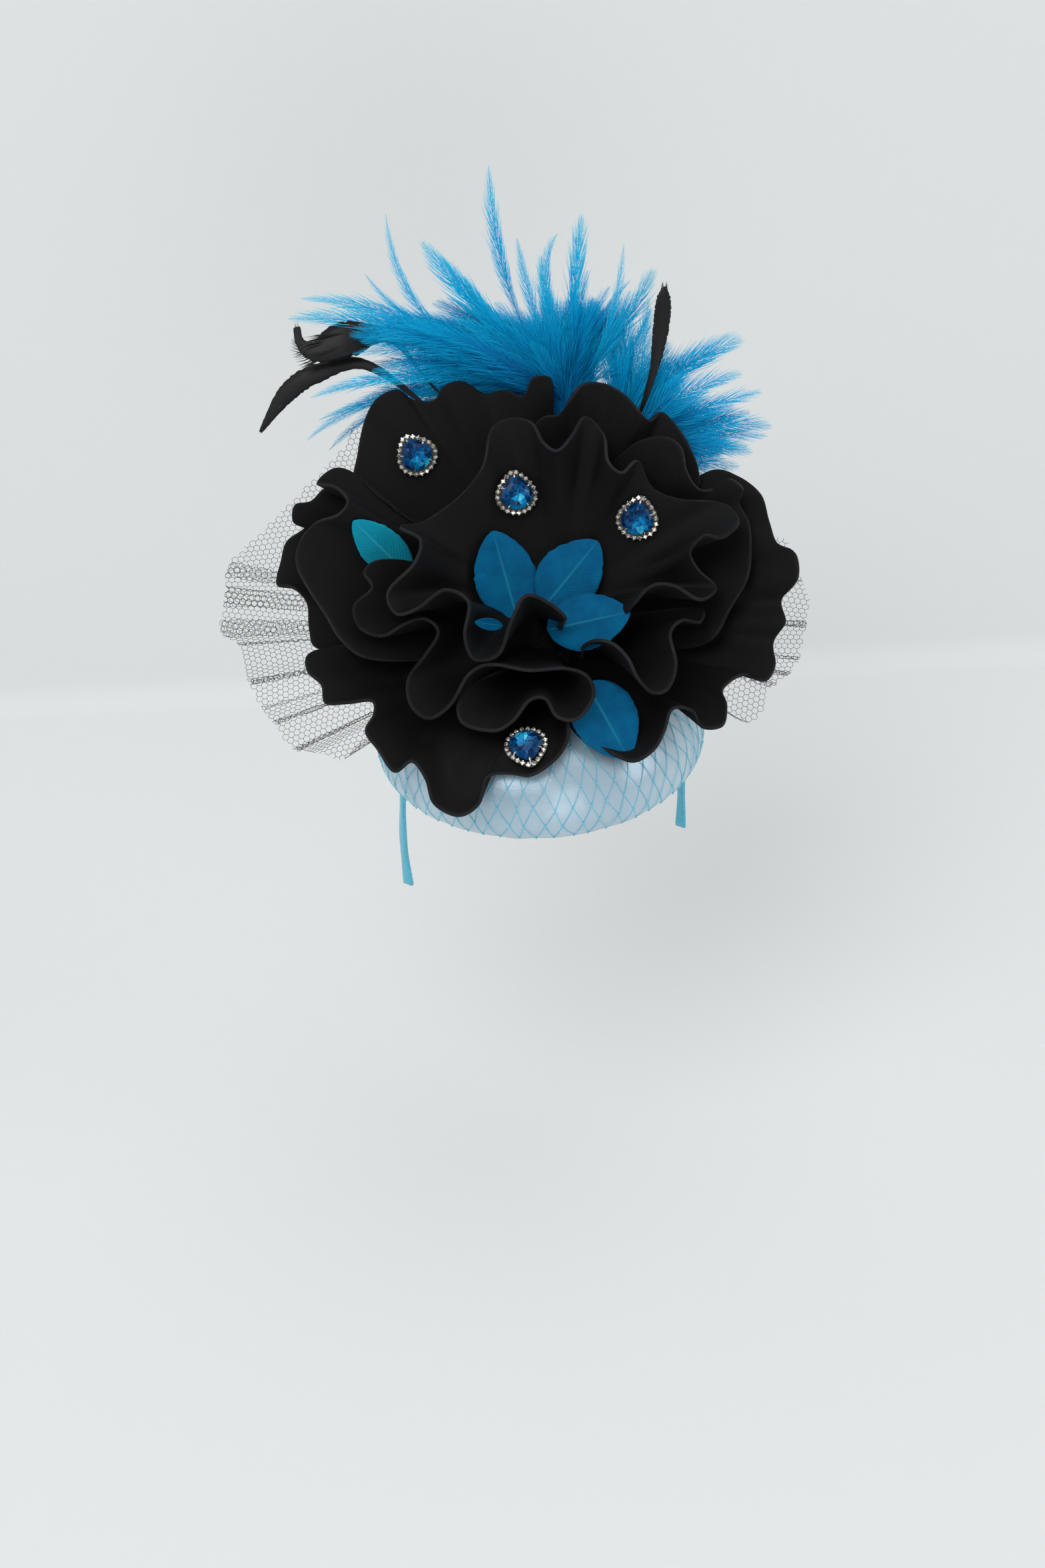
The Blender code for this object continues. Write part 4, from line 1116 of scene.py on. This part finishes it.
for number, (petal, spot, point_way) in enumerate(JEWELS, 1):
    tree = surface_tree(petals[petal])
    start = FAR_RAYS.get(petal, JEWEL_RAY)
    place, normal = seat(tree, *spot, start)
    for step in ((SEAT_STEP, 0), (-SEAT_STEP, 0), (0, SEAT_STEP), (0, -SEAT_STEP)):
        near = seat(tree, spot[0] + step[0], spot[1] + step[1], start)[1]
        normal = normal + (near if near is not None else FACE_OUT)
    normal.normalize()
    along = (FACE_ACROSS * point_way[0] + FACE_UP * point_way[1]).normalized()
    along = (along - normal * along.dot(normal)).normalized()
    jewel_frame = Matrix((along.cross(normal), along, normal)).transposed().to_4x4()
    jewel_frame.translation = place
    highest = 0.0
    for scale in (0.0, 0.5, 1.0):
        for x, y in pear_outline(JEWEL_LENGTH, JEWEL_WIDTH, 16) * scale:
            above = jewel_frame @ Vector((x * MM, y * MM, SEAT_ABOVE * MM))
            under = tree.ray_cast(above, -normal)[0]
            if under is not None:
                highest = max(highest, (jewel_frame.inverted() @ under).z / MM)
    foot = highest + JEWEL_GAP
    to_world = jewel_frame @ Matrix.Scale(MM, 4)

    rings = []
    for smaller, height in PLATE_ROWS:
        outline = pear_outline(JEWEL_LENGTH - smaller, JEWEL_WIDTH - smaller, 48)
        rings.append(at_height(outline, foot + height))
    plate = jewel_part("plate", plain_mesh("plate", *ring_body(rings)), plate_look, to_world)

    track = pear_outline(JEWEL_LENGTH - CRYSTAL_INSET, JEWEL_WIDTH - CRYSTAL_INSET, 40 * CRYSTALS)
    lengths = np.cumsum(np.linalg.norm(track - np.roll(track, 1, axis=0), axis=1))
    crystal_places, turns, sizes = [], [], []
    for index in range(CRYSTALS):
        x, y = track[int(np.searchsorted(lengths, lengths[-1] * (index + 0.5) / CRYSTALS)) % len(track)]
        crystal_places.append(to_world @ Vector((x, y, foot + PLATE_ROWS[-1][1])))
        lean = Matrix.Rotation(math.atan2(y, x), 3, "Z") @ Matrix.Rotation(CRYSTAL_LEAN, 3, "Y")
        turns.append(tuple((jewel_frame.to_3x3() @ lean).to_euler()))
        sizes.append((CRYSTAL_RADIUS * MM,) * 3)
    crystals = placed("crystals", crystal_shape, crystal_look, crystal_places, turns, sizes)
    cups = placed("cups", cup_shape, silver, crystal_places, turns, sizes)

    claws = []
    outline = pear_outline(JEWEL_LENGTH * STONE_SCALE, JEWEL_WIDTH * STONE_SCALE, 360)
    for bearing in CLAW_BEARINGS:
        rings = []
        for share, height, radius in CLAW_ROWS:
            rings.append(at_height(circle(radius, 8) + outline[int(bearing)] * share, foot + height))
        claws.append(jewel_part("claw", plain_mesh("claw", *ring_body(rings)), silver, to_world))
    halo = joined(f"crystal_ring_{number}", [plate, crystals, cups, *claws])
    ride(halo, "crystal_setting", f"jewel_{number}_halo")

    name = f"pear_stone_{number}"
    stone = jewel_part(name, stone_mesh(name, foot + JEWEL_PLATE, number), stone_look, to_world)
    ride(stone, "blue_stone", f"jewel_{number}_stone")

for helper in (crystal_shape, cup_shape):
    bpy.data.objects.remove(helper)

# The veiling on the base
# Turquoise diamond net, stretched over the satin and gathered under the rim. Its strands cross at small
# knots. A strand is about 0.35 mm thick.
VEIL_COLUMNS = 58
VEIL_ROW = 9.6
VEIL_STRAND = 0.17
VEIL_LIFT = 0.35
KNOT = 0.55
# The bare crown under the flower, and how far knots stray down the skin (mm) and round it (radians)
VEIL_OPEN = 26.0
VEIL_STRAY = (0.5, 0.008)


def strand_group(name):
    """Geometry nodes that give edges a round strand as thick as the point's radius."""
    group, inside = geometry_group(name, ("Sides", "Int"), ("Ends", "Bool"))
    radius = named_attribute(group, "strand", "FLOAT")
    curves = group.nodes.new("GeometryNodeMeshToCurve")
    thick = group.nodes.new("GeometryNodeSetCurveRadius")
    ring = node(group, "GeometryNodeCurvePrimitiveCircle", Radius=1.0)
    sweep = group.nodes.new("GeometryNodeCurveToMesh")
    link(group, inside.outputs["Ends"], sweep.inputs["Fill Caps"])
    link(group, inside.outputs["Geometry"], curves.inputs["Mesh"])
    link(group, curves.outputs["Curve"], thick.inputs["Curve"])
    link(group, radius, thick.inputs["Radius"])
    link(group, inside.outputs["Sides"], ring.inputs["Resolution"])
    link(group, thick.outputs["Curve"], sweep.inputs["Curve"])
    link(group, ring.outputs["Curve"], sweep.inputs["Profile Curve"])
    if "Scale" in sweep.inputs:
        link(group, radius, sweep.inputs["Scale"])
    give(group, inside, sweep.outputs["Mesh"])
    return group


strands = strand_group("round_strands")


def strand_piece(name, points, edges, radii, sides, finish, ends=True, **extra):
    """A piece of round strands along the edges. The extra values are kept as attributes."""
    mesh = bpy.data.meshes.new(name)
    mesh.from_pydata([tuple(p) for p in points], [tuple(e) for e in edges], [])
    set_attribute(mesh, "strand", radii)
    for label, values in extra.items():
        set_attribute(mesh, label, values)
    piece = put(name, mesh)
    run_group(piece, strands, Sides=sides, Finish=finish, Ends=ends)
    piece.data.shade_smooth()
    return piece


veil_look, veil_tree, veil_shader = new_material("turquoise_veiling", Roughness=0.5)
veil_twist = noise(veil_tree, 900.0, 1.0)
tint(veil_tree, veil_shader, veil_twist, (0.3, (0.12, 0.60, 0.80)), (0.7, (0.24, 0.74, 0.88)))
bump(veil_tree, veil_shader, veil_twist, 0.00005)


def lengths_along(points):
    """How far along its points a line has come at each of them."""
    return np.concatenate([[0.0], np.cumsum(np.linalg.norm(np.diff(points, axis=0), axis=1))])


skin = curve_through(BASE_PROFILE, 240)
skin_lengths = lengths_along(skin)
skin_way = np.gradient(skin, axis=0)
skin_way /= np.linalg.norm(skin_way, axis=1, keepdims=True)


def on_base(down, bearing, lift):
    """A point this far down the base's skin from the crown, just outside it."""
    radius, height = (np.interp(down, skin_lengths, skin[:, axis]) for axis in (0, 1))
    way_in, way_down = (np.interp(down, skin_lengths, skin_way[:, axis]) for axis in (0, 1))
    return (
        (radius - way_down * lift) * math.cos(bearing) * MM,
        (radius - way_down * lift) * math.sin(bearing) * MM,
        (height + way_in * lift) * MM,
    )


veil_rows = int((skin_lengths[-1] - VEIL_OPEN) / VEIL_ROW)
veil_points, veil_edges, veil_knots = [], [], []
veil_chance = np.random.default_rng(5)
knot_shift = veil_chance.normal(0, 1, (veil_rows + 1, VEIL_COLUMNS, 2))


def veil_knot(row, column):
    shift = knot_shift[row, column % VEIL_COLUMNS]
    down = skin_lengths[-1] - 1.0 - VEIL_ROW * row + (VEIL_STRAY[0] * shift[0] if row else 0)
    bearing = 2 * math.pi * (column + 0.5 * (row % 2)) / VEIL_COLUMNS + VEIL_STRAY[1] * shift[1]
    return down, bearing


for row in range(veil_rows + 1):
    for column in range(VEIL_COLUMNS):
        veil_knots.append(on_base(*veil_knot(row, column), VEIL_LIFT))
        if row == veil_rows:
            continue
        for aside in (0, 1):
            start = veil_knot(row, column)
            end = veil_knot(row + 1, column + (aside if row % 2 else aside - 1))
            first = len(veil_points)
            for share in np.linspace(0, 1, 6):
                down = start[0] + share * (end[0] - start[0])
                bearing = start[1] + share * (end[1] - start[1])
                veil_points.append(on_base(down, bearing, VEIL_LIFT))
            veil_edges += [(first + i, first + i + 1) for i in range(5)]
veil_radii = np.full(len(veil_points), VEIL_STRAND * MM)
veil_strands = strand_piece("veil_strands", veil_points, veil_edges, veil_radii, 4, veil_look)
knot_shape = put("knot_shape", bpy.data.meshes.new("knot_shape"))
knot_bmesh = bmesh.new()
bmesh.ops.create_icosphere(knot_bmesh, subdivisions=1, radius=1.0)
knot_bmesh.to_mesh(knot_shape.data)
knot_bmesh.free()
knot_sizes = [(KNOT * MM,) * 3] * len(veil_knots)
knots = placed("veil_knots", knot_shape, veil_look, veil_knots, np.zeros((len(veil_knots), 3)), knot_sizes)
bpy.data.objects.remove(knot_shape)
veil = joined("base_veiling", [veil_strands, knots])
ride(veil, "blue_band")

# The net fans
# Black hexagon net, gathered at the flower's middle and pressed into pleats that spread like a fan. It
# is laid out flat here and folded along its pleats, so its cells keep their size. The edge is cut raw.
NET_CELL = 3.0
NET_STRAND = 0.125
NET_INNER = 26.0
NET_STEP = 0.8
PLEAT_LAYER = 0.7
# Folds of each fan: place along its rows, half the width folded back, times folded
NET_FOLDS = {
    "net_fan_left": (
        (6.2, 5.0, 1), (7.0, 6.0, 1), (7.9, 6.0, 1), (9.0, 1.6, 2), (11.0, 2.2, 2), (12.1, 1.6, 1),
        (13.0, 1.8, 2), (14.1, 2.2, 2), (16.1, 2.0, 2),
    ),
    "net_fan_right": (
        (1.0, 2.0, 2), (2.2, 3.0, 1), (3.4, 2.0, 2), (4.5, 2.6, 1), (6.0, 2.4, 2), (7.6, 2.0, 1),
    ),
}
NET_ROW_SAMPLES = 24

net_look, net_tree, net_shader = new_material("black_net", Roughness=0.6)
net_fuzz = noise(net_tree, 500.0, 1.0)
tint(net_tree, net_shader, net_fuzz, (0.3, (0.006, 0.006, 0.008)), (0.7, (0.016, 0.016, 0.019)))


def folded_rim(rows, folds):
    """The net's edge, going back on itself in a flat fold at each pleat."""
    rim = curve_through(rows, NET_ROW_SAMPLES * (len(rows) - 1) + 1)
    lengths = lengths_along(rim)
    turns = [(0.0, 0.0)]
    for row, half, times in folds:
        place = np.interp(row * NET_ROW_SAMPLES, np.arange(len(lengths)), lengths)
        for layer in range(times):
            turns += [(place + half, layer * PLEAT_LAYER), (place - half, (layer + 1) * PLEAT_LAYER)]
    turns.append((lengths[-1], 0.0))
    turns = np.array(turns)
    used = np.concatenate([[0.0], np.cumsum(np.abs(np.diff(turns[:, 0])))])
    along = np.arange(0.0, used[-1], NET_STEP)
    place = np.interp(along, used, turns[:, 0])
    layer = np.interp(along, used, turns[:, 1])
    folded = np.stack([np.interp(place, lengths, rim[:, axis]) for axis in range(3)], axis=1)
    folded[:, 2] -= layer
    return folded


def honeycomb(reach):
    """Points and edges of a flat honeycomb as far as the reach each way."""
    side = NET_CELL / math.sqrt(3)
    half = int(reach / NET_CELL) + 2
    points, index = [], {}
    for j in range(-int(reach / (1.5 * side)) - 1, int(reach / (1.5 * side)) + 2):
        for i in range(-half - j // 2, half - j // 2 + 1):
            x, y = NET_CELL * (i + 0.5 * j), 1.5 * side * j
            index[i, j] = len(points)
            points += [(x, y), (x, y + side)]
    edges = []
    for (i, j), first in index.items():
        edges.append((first, first + 1))
        for other in ((i, j + 1), (i - 1, j + 1)):
            if other in index:
                edges.append((first + 1, index[other]))
    return np.array(points), np.array(edges)


for level, (name, rows, pad, drape) in enumerate(SHEETS):
    if name not in NET_FOLDS:
        continue
    centre = np.array((*pad[0], STACK_FIRST + STACK_PITCH * level))
    spokes = folded_rim(rows, NET_FOLDS[name]) - centre
    spoke_lengths = np.linalg.norm(spokes, axis=1)
    spokes /= spoke_lengths[:, None]
    turned = np.arccos(np.clip(np.sum(spokes[1:] * spokes[:-1], axis=1), -1, 1))
    opened = np.concatenate([[0.0], np.cumsum(turned)])
    flat_points, flat_edges = honeycomb(spoke_lengths.max())
    radius = np.linalg.norm(flat_points, axis=1)
    bearing = np.arctan2(flat_points[:, 1], flat_points[:, 0]) % (2 * math.pi)
    limit = np.interp(bearing, opened, spoke_lengths)
    kept = (bearing < opened[-1]) & (radius > NET_INNER) & (radius < limit)
    way = np.stack([np.interp(bearing, opened, spokes[:, axis]) for axis in range(3)], axis=1)
    way /= np.linalg.norm(way, axis=1, keepdims=True)
    folded = centre + radius[:, None] * way
    folded[:, 2] = np.maximum(folded[:, 2], draped(folded, drape))
    flat_edges = flat_edges[kept[flat_edges].all(axis=1)]
    near = np.abs(np.diff(bearing[flat_edges], axis=1)[:, 0]) < 1.0
    flat_edges = flat_edges[near]
    used, flat_edges = np.unique(flat_edges, return_inverse=True)
    net = strand_piece(
        name.replace("net_fan", "hexagon_net"),
        face_points(folded[used]),
        flat_edges.reshape(-1, 2),
        np.full(len(used), NET_STRAND * MM),
        3,
        net_look,
        ends=False,
    )
    ride(net, "black_net", name)

# The hackle feathers
# A bunch of long, soft cock hackles dyed turquoise, wired together at the head, which is glued behind
# the petals. Each has a fine quill and loose, silky barbs, darker at the root and paler at the tip:
# painted shade where the petals shade the roots, and painted light where the pale wall shows through
# the thin tips.
PLUME_HEAD = (0.0, 52.0, 20.0)
CROWN_ROOT = (5.0, 110.0, 24.0)
RIGHT_ROOT = (28.0, 82.0, 22.0)
# A feather to a row: where it bends towards (across, up), its tip (across, up, out), the length of
# its barbs, and how pale it is
CROWN_HACKLES = (
    ((-78, 128), (-85, 199, 56), 16, 0.75), ((-72, 136), (-95, 169, 52), 18, 0.5),
    ((-85, 152), (-133, 147, 46), 26, 0.95), ((-80, 158), (-127, 157, 46), 22, 1.0),
    ((-60, 138), (-104, 152, 50), 24, 0.6), ((-75, 128), (-122, 108, 40), 20, 0.8),
    ((-80, 126), (-124, 87, 24), 18, 0.6), ((-76, 124), (-113, 82, 20), 18, 0.5),
    ((-70, 118), (-118, 97, 26), 18, 0.7), ((-34, 142), (-67, 185, 54), 28, 0.85),
    ((-28, 140), (-58, 178, 52), 22, 0.5), ((-31, 150), (-34, 223, 64), 20, 0.65),
    ((-13, 145), (-20, 187, 52), 17, 0.75), ((-30, 135), (-46, 168, 50), 22, 0.6),
    ((-14, 172), (0, 189, 54), 18, 0.9), ((-6, 150), (-8, 178, 50), 20, 0.9),
    ((8, 160), (12, 198, 54), 26, 0.95), ((12, 140), (36, 166, 46), 16, 0.2),
    ((10, 140), (26, 163, 48), 18, 0.15), ((8, 140), (15, 171, 50), 18, 0.3),
    ((34, 140), (47, 171, 48), 26, 0.9), ((30, 135), (36, 161, 44), 20, 0.6),
    ((28, 128), (33, 184, 50), 14, 1.0), ((38, 122), (46, 152, 38), 22, 0.8),
)
RIGHT_HACKLES = (
    ((48, 122), (91, 137, 28), 24, 0.6), ((56, 112), (91, 120, 24), 20, 0.6),
    ((66, 104), (101, 111, 20), 20, 0.5), ((76, 98), (106, 94, 16), 20, 0.35),
    ((74, 92), (104, 89, 14), 18, 0.5), ((68, 84), (94, 84, 12), 20, 0.9),
    ((66, 76), (90, 74, 10), 18, 0.7), ((44, 118), (80, 133, 28), 20, 0.4),
)
# The body of each bunch: how far it reaches (mm) at each angle from its root, and its feathers
CROWN_REACH = (
    (60, 50), (75, 54), (90, 52), (108, 42), (123, 52), (131, 68), (145, 88), (150, 104), (160, 112),
    (174, 106), (186, 94),
)
CROWN_FILLERS = 128
MIDDLE_ROOT = (33.0, 96.0, 22.0)
MIDDLE_REACH = ((58, 40), (72, 62), (88, 68), (104, 62))
MIDDLE_FILLERS = 12
RIGHT_REACH = ((-14, 48), (0, 66), (20, 70), (40, 64), (62, 58))
RIGHT_FILLERS = 30
BARB_STEP = 0.62
BARB_ANGLES = (34.0, 19.0)
TIP_BARB_STEP = 0.75
TIP_ANGLES = (26.0, 15.0)
QUILL = (0.4, 0.1)
SHORTEST_BARB = 0.8
# A barb's rows, as shares of its length: along, aside, half its width, up
BARB_ROWS = (
    (0.0, 0.0, 0.006, 0.0), (0.35, 0.012, 0.0075, 0.012),
    (0.7, 0.055, 0.005, 0.025), (1.0, 0.12, 0.0007, 0.01),
)
# How steeply a body feather rises out of the flower's face, by the angle it points at
BODY_RISE = ((0, 0.1), (60, 0.25), (120, 0.32), (160, 0.22), (172, 0.12), (186, 0.0))
# How far body feathers stray: in angle (degrees), at the root (mm, and its share on each axis) and in
# depth at the tip (mm), and between what lengths their barbs and between what tones they vary
TURN_STRAY = 4
ROOT_STRAY = 3
ROOT_SHARES = (1, 1, 0.6)
TIP_STRAY = 4
BODY_BARBS = (15, 24)
BODY_TONES = (-0.2, 0.5)
# The feathers that point lowest start deeper, by LOW_DROP for each LOW_SPAN degrees past LOW_ANGLE
LOW_ANGLE = 165
LOW_SPAN = 20
LOW_DROP = 3

barb_points, barb_reach = [], []
for x, y, half, z in BARB_ROWS:
    barb_points += [(x, y - half, z), (x, y + half, z)]
    barb_reach += [x, x]
barb_faces = [(2 * i, 2 * i + 2, 2 * i + 3, 2 * i + 1) for i in range(len(BARB_ROWS) - 1)]
barb_shape = put("barb_shape", plain_mesh("barb_shape", barb_points, barb_faces))
set_attribute(barb_shape.data, "reach", barb_reach)


class Feathers:
    """Collects the barbs and quills of a bunch of feathers, and makes one piece of them."""

    def __init__(self):
        self.places, self.turns, self.sizes, self.along, self.tone = [], [], [], [], []
        self.quill_points, self.quill_edges, self.quill_radii = [], [], []
        self.quill_along, self.quill_tone = [], []

    def add(self, line, face, half_width, angles, step, quill, chance, tone, loose, stretch=1.0):
        """A feather along the line, with barbs as long as half_width(share) in millimetres."""
        lengths = lengths_along(line)
        ways = np.gradient(line, axis=0)
        first = len(self.quill_points)
        for index, point in enumerate(line):
            share = lengths[index] / lengths[-1]
            self.quill_points.append(tuple(point))
            self.quill_radii.append((quill[0] + share * (quill[1] - quill[0])) * MM)
            self.quill_along.append(share)
            self.quill_tone.append(tone)
        self.quill_edges += [(first + i, first + i + 1) for i in range(len(line) - 1)]
        for place in np.arange(0.5 * step * MM, lengths[-1], step * MM):
            share = place / lengths[-1]
            at = Vector([np.interp(place, lengths, line[:, axis]) for axis in range(3)])
            way = Vector([np.interp(place, lengths, ways[:, axis]) for axis in range(3)]).normalized()
            flat = (face - way * face.dot(way)).normalized()
            for side in (1, -1):
                length = half_width(share) * (1 + loose * chance.normal())
                if length < SHORTEST_BARB:
                    continue
                slant = angles[0] + share * (angles[1] - angles[0])
                angle = math.radians(slant + 40 * loose * chance.normal())
                aside = way.cross(flat) * side
                lift = loose * 1.2 * chance.normal()
                reach = way * math.cos(angle) + aside * math.sin(angle) + flat * lift
                reach.normalize()
                up = flat * side
                up = (up - reach * up.dot(reach)).normalized()
                across = up.cross(reach)
                turn = Matrix((reach, across, up)).transposed()
                self.places.append(tuple(at))
                self.turns.append(tuple(turn.to_euler()))
                self.sizes.append((length * MM, length * MM * stretch, length * MM))
                self.along.append(share)
                self.tone.append(tone)

    def piece(self, name, look):
        barbs = placed(
            "barbs", barb_shape, look, self.places, self.turns, self.sizes, along=self.along, tone=self.tone
        )
        quills = strand_piece(
            "quills",
            self.quill_points,
            self.quill_edges,
            self.quill_radii,
            4,
            look,
            along=self.quill_along,
            tone=self.quill_tone,
            reach=np.zeros(len(self.quill_points)),
        )
        return joined(name, [barbs, quills])


def hackle_look():
    look, tree, shader = new_material("turquoise_hackle", Roughness=0.55, Specular_IOR_Level=0.1)
    along, reach, tone = (attribute(tree, name) for name in ("along", "reach", "tone"))
    # Painted shade and light: darker towards each feather's root, where the petals shade it, and paler
    # towards the thin barb tips, where the pale wall shows through
    share = maths(tree, "MULTIPLY_ADD", reach, 0.3, maths(tree, "MULTIPLY_ADD", along, 0.7, -0.22))
    share = maths(tree, "MULTIPLY_ADD", tone, 0.3, share)
    tint(
        tree,
        shader,
        share,
        (0.10, (0.0, 0.06, 0.24)),
        (0.34, (0.0, 0.24, 0.56)),
        (0.64, (0.0, 0.50, 0.85)),
        (1.0, (0.08, 0.70, 0.90)),
    )
    return look


hackle = hackle_look()
plume_chance = np.random.default_rng(11)
plume_head = np.array(PLUME_HEAD)


def hackle_line(root, bend, tip):
    """A hackle's quill: straight from the head to its root in the bunch, then in one bend to its tip."""
    share = np.linspace(0, 1, 24)[:, None]
    bend_out = root[2] + 0.6 * (tip[2] - root[2])
    places = (1 - share) ** 2 * root + 2 * share * (1 - share) * np.array((*bend, bend_out)) + share**2 * tip
    first = plume_head + np.linspace(0.1, 1, 5)[:-1, None] * (root - plume_head)
    return face_points(np.concatenate([first, places]))


def hackle_width(longest, bare):
    def width(share):
        return longest * (0.2 + 0.8 * min(1.0, max(0.0, share - bare) / 0.2)) * (1 - share**5) ** 0.8
    return width


def leant(chance):
    """The way that a feather's face looks."""
    return (Vector((chance.normal(0, 0.4), chance.normal(0, 0.25), 0)) + FACE_OUT).normalized()


def hackles(name, rows, chance, bare, angles, step, *nodes):
    """A piece of feathers, a row each: root, bend, tip, the length of its barbs, how pale it is."""
    bunch = Feathers()
    for root, bend, tip, longest, paleness in rows:
        line = hackle_line(np.array(root, float), bend, np.array(tip, float))
        width = hackle_width(longest, bare)
        bunch.add(line, leant(chance), width, angles, step, QUILL, chance, paleness, 0.09)
    ride(bunch.piece(name, hackle), "blue_hackle", *nodes)


def body_rows(root, reach, count, bow, chance):
    """Feathers that fill a bunch's fan, each bowed up and out a little from the line to its tip."""
    angles, lengths = np.array(reach, float).T
    rows = []
    for turn in np.linspace(angles[0], angles[-1], count) + chance.normal(0, TURN_STRAY, count):
        length = np.interp(turn, angles, lengths) * chance.uniform(0.7, 1.0)
        way = np.array([math.cos(math.radians(turn)), math.sin(math.radians(turn))])
        lowered = LOW_DROP * max(0.0, (turn - LOW_ANGLE) / LOW_SPAN)
        base = np.array(root) + chance.normal(0, ROOT_STRAY, 3) * ROOT_SHARES - (0, 0, lowered)
        droop = bow * length * abs(way[0])
        bend = base[:2] + way * 0.5 * length + (0, droop)
        rise = length * np.interp(turn, *zip(*BODY_RISE))
        tip = (*(base[:2] + way * length - (0, 0.3 * droop)), base[2] + rise + chance.normal(0, TIP_STRAY))
        rows.append((base, bend, tip, chance.uniform(*BODY_BARBS), chance.uniform(*BODY_TONES)))
    return rows


crown_body = body_rows(CROWN_ROOT, CROWN_REACH, CROWN_FILLERS, 0.14, plume_chance)
middle_body = body_rows(MIDDLE_ROOT, MIDDLE_REACH, MIDDLE_FILLERS, 0.1, plume_chance)
middle_body = [(*row[:4], row[4] + 0.6) for row in middle_body]
right_body = body_rows(RIGHT_ROOT, RIGHT_REACH, RIGHT_FILLERS, 0.1, plume_chance)
crown_tips = [(CROWN_ROOT, *row) for row in CROWN_HACKLES]
right_tips = [(RIGHT_ROOT, *row) for row in RIGHT_HACKLES]
hackles("hackles_tips", crown_tips, plume_chance, 0.5, TIP_ANGLES, TIP_BARB_STEP, "feather_plume")
left_body, crown_body = crown_body[CROWN_FILLERS // 2:], crown_body[:CROWN_FILLERS // 2] + middle_body
hackles("hackles_left", left_body, plume_chance, 0.25, BARB_ANGLES, BARB_STEP)
hackles("hackles_crown", crown_body, plume_chance, 0.2, BARB_ANGLES, BARB_STEP)
hackles("hackles_right", right_tips + right_body, plume_chance, 0.3, BARB_ANGLES, BARB_STEP)

# The black feathers
# Two stripped black feathers on the left, one with its tip curled back over the scissors' edge, and a
# slim one on the right. Their barbs lie close, so that each reads as one blade with a ragged edge.
BLACK_FEATHERS = (
    ((-21.3, 76.4, 24, 1.2), (-60, 112, 30, 1.2), (-82, 137, 37, 6), (-104, 137, 42, 21), (-119, 131, 42, 13),
     (-127, 135, 42, 6), (-129, 143, 40, 4)),
    ((-26, 66, 24.0, 1.2), (-58, 98, 30, 1.2), (-94, 124, 34, 6), (-119, 120, 32, 11), (-134, 110, 29, 11),
     (-147, 91, 25, 2)),
    ((18, 70, 22.3, 2), (38, 96, 29, 2.5), (47, 119, 38, 4.5), (50.5, 137, 44, 8.5), (52, 149, 47.5, 9.5),
     (52.7, 158, 50, 7.5), (53, 163, 51, 1.5)),
)
BLACK_STEP = 0.7
BLACK_VANE = 0.2
BLACK_CROSSWAYS = (-1.0, -0.6, -0.2, 0.2, 0.6, 1.0)
BLACK_ANGLES = (42.0, 28.0)
BLACK_QUILL = (0.7, 0.4)
BLACK_SLANT = math.radians(34)
# The vane's cup, as a share of its width, and the share of the blade's width that it fills
BLACK_CUP = 0.06
BLACK_EDGE = (0.78, 0.9)

black_look, black_tree, black_shader = new_material("black_feather", Roughness=0.45, Specular_IOR_Level=0.3)
black_reach = attribute(black_tree, "reach")
tint(black_tree, black_shader, black_reach, (0.0, (0.005, 0.005, 0.006)), (1.0, (0.013, 0.012, 0.012)))

for number, rows in enumerate(BLACK_FEATHERS, 1):
    middle = curve_through(rows, 16 * (len(rows) - 1) + 1)
    widths = middle[:, 3]
    line = face_points(middle[:, :3])
    blade = Feathers()
    chance = np.random.default_rng(40 + number)

    shares = lengths_along(line)
    shares /= shares[-1]

    def black_width(share):
        return 0.5 * np.interp(share, shares, widths) / math.sin(BLACK_SLANT)

    blade.add(line, FACE_OUT, black_width, BLACK_ANGLES, BLACK_STEP, BLACK_QUILL, chance, 0.5, 0.04, 3.0)
    ways = np.gradient(line, axis=0)
    vane_points = []
    for index, (point, way) in enumerate(zip(line, ways)):
        aside = Vector(way).cross(FACE_OUT).normalized()
        edge = chance.uniform(*BLACK_EDGE)
        for place in BLACK_CROSSWAYS:
            spot = Vector(point) + aside * (place * 0.5 * edge * widths[index] * MM)
            cup = (1 - place * place) * BLACK_CUP * widths[index] * MM
            vane_points.append(tuple(spot + FACE_OUT * cup))
    faces = grid_faces(len(line), len(BLACK_CROSSWAYS))
    vane = put("vane", plain_mesh("vane", vane_points, faces))
    thicken(vane, BLACK_VANE)
    vane.data.shade_smooth()
    vane.data.materials.append(black_look)
    feather = joined(f"black_blade_{number}", [blade.piece("barbs_and_quill", black_look), vane])
    ride(feather, "black_feather", f"black_feather_{number}")
bpy.data.objects.remove(barb_shape)

# The stem
# A plain foam-covered post between the base's crown and the back of the stack.
for slot in bpy.data.objects["flower_stem"].material_slots:
    slot.material = foam
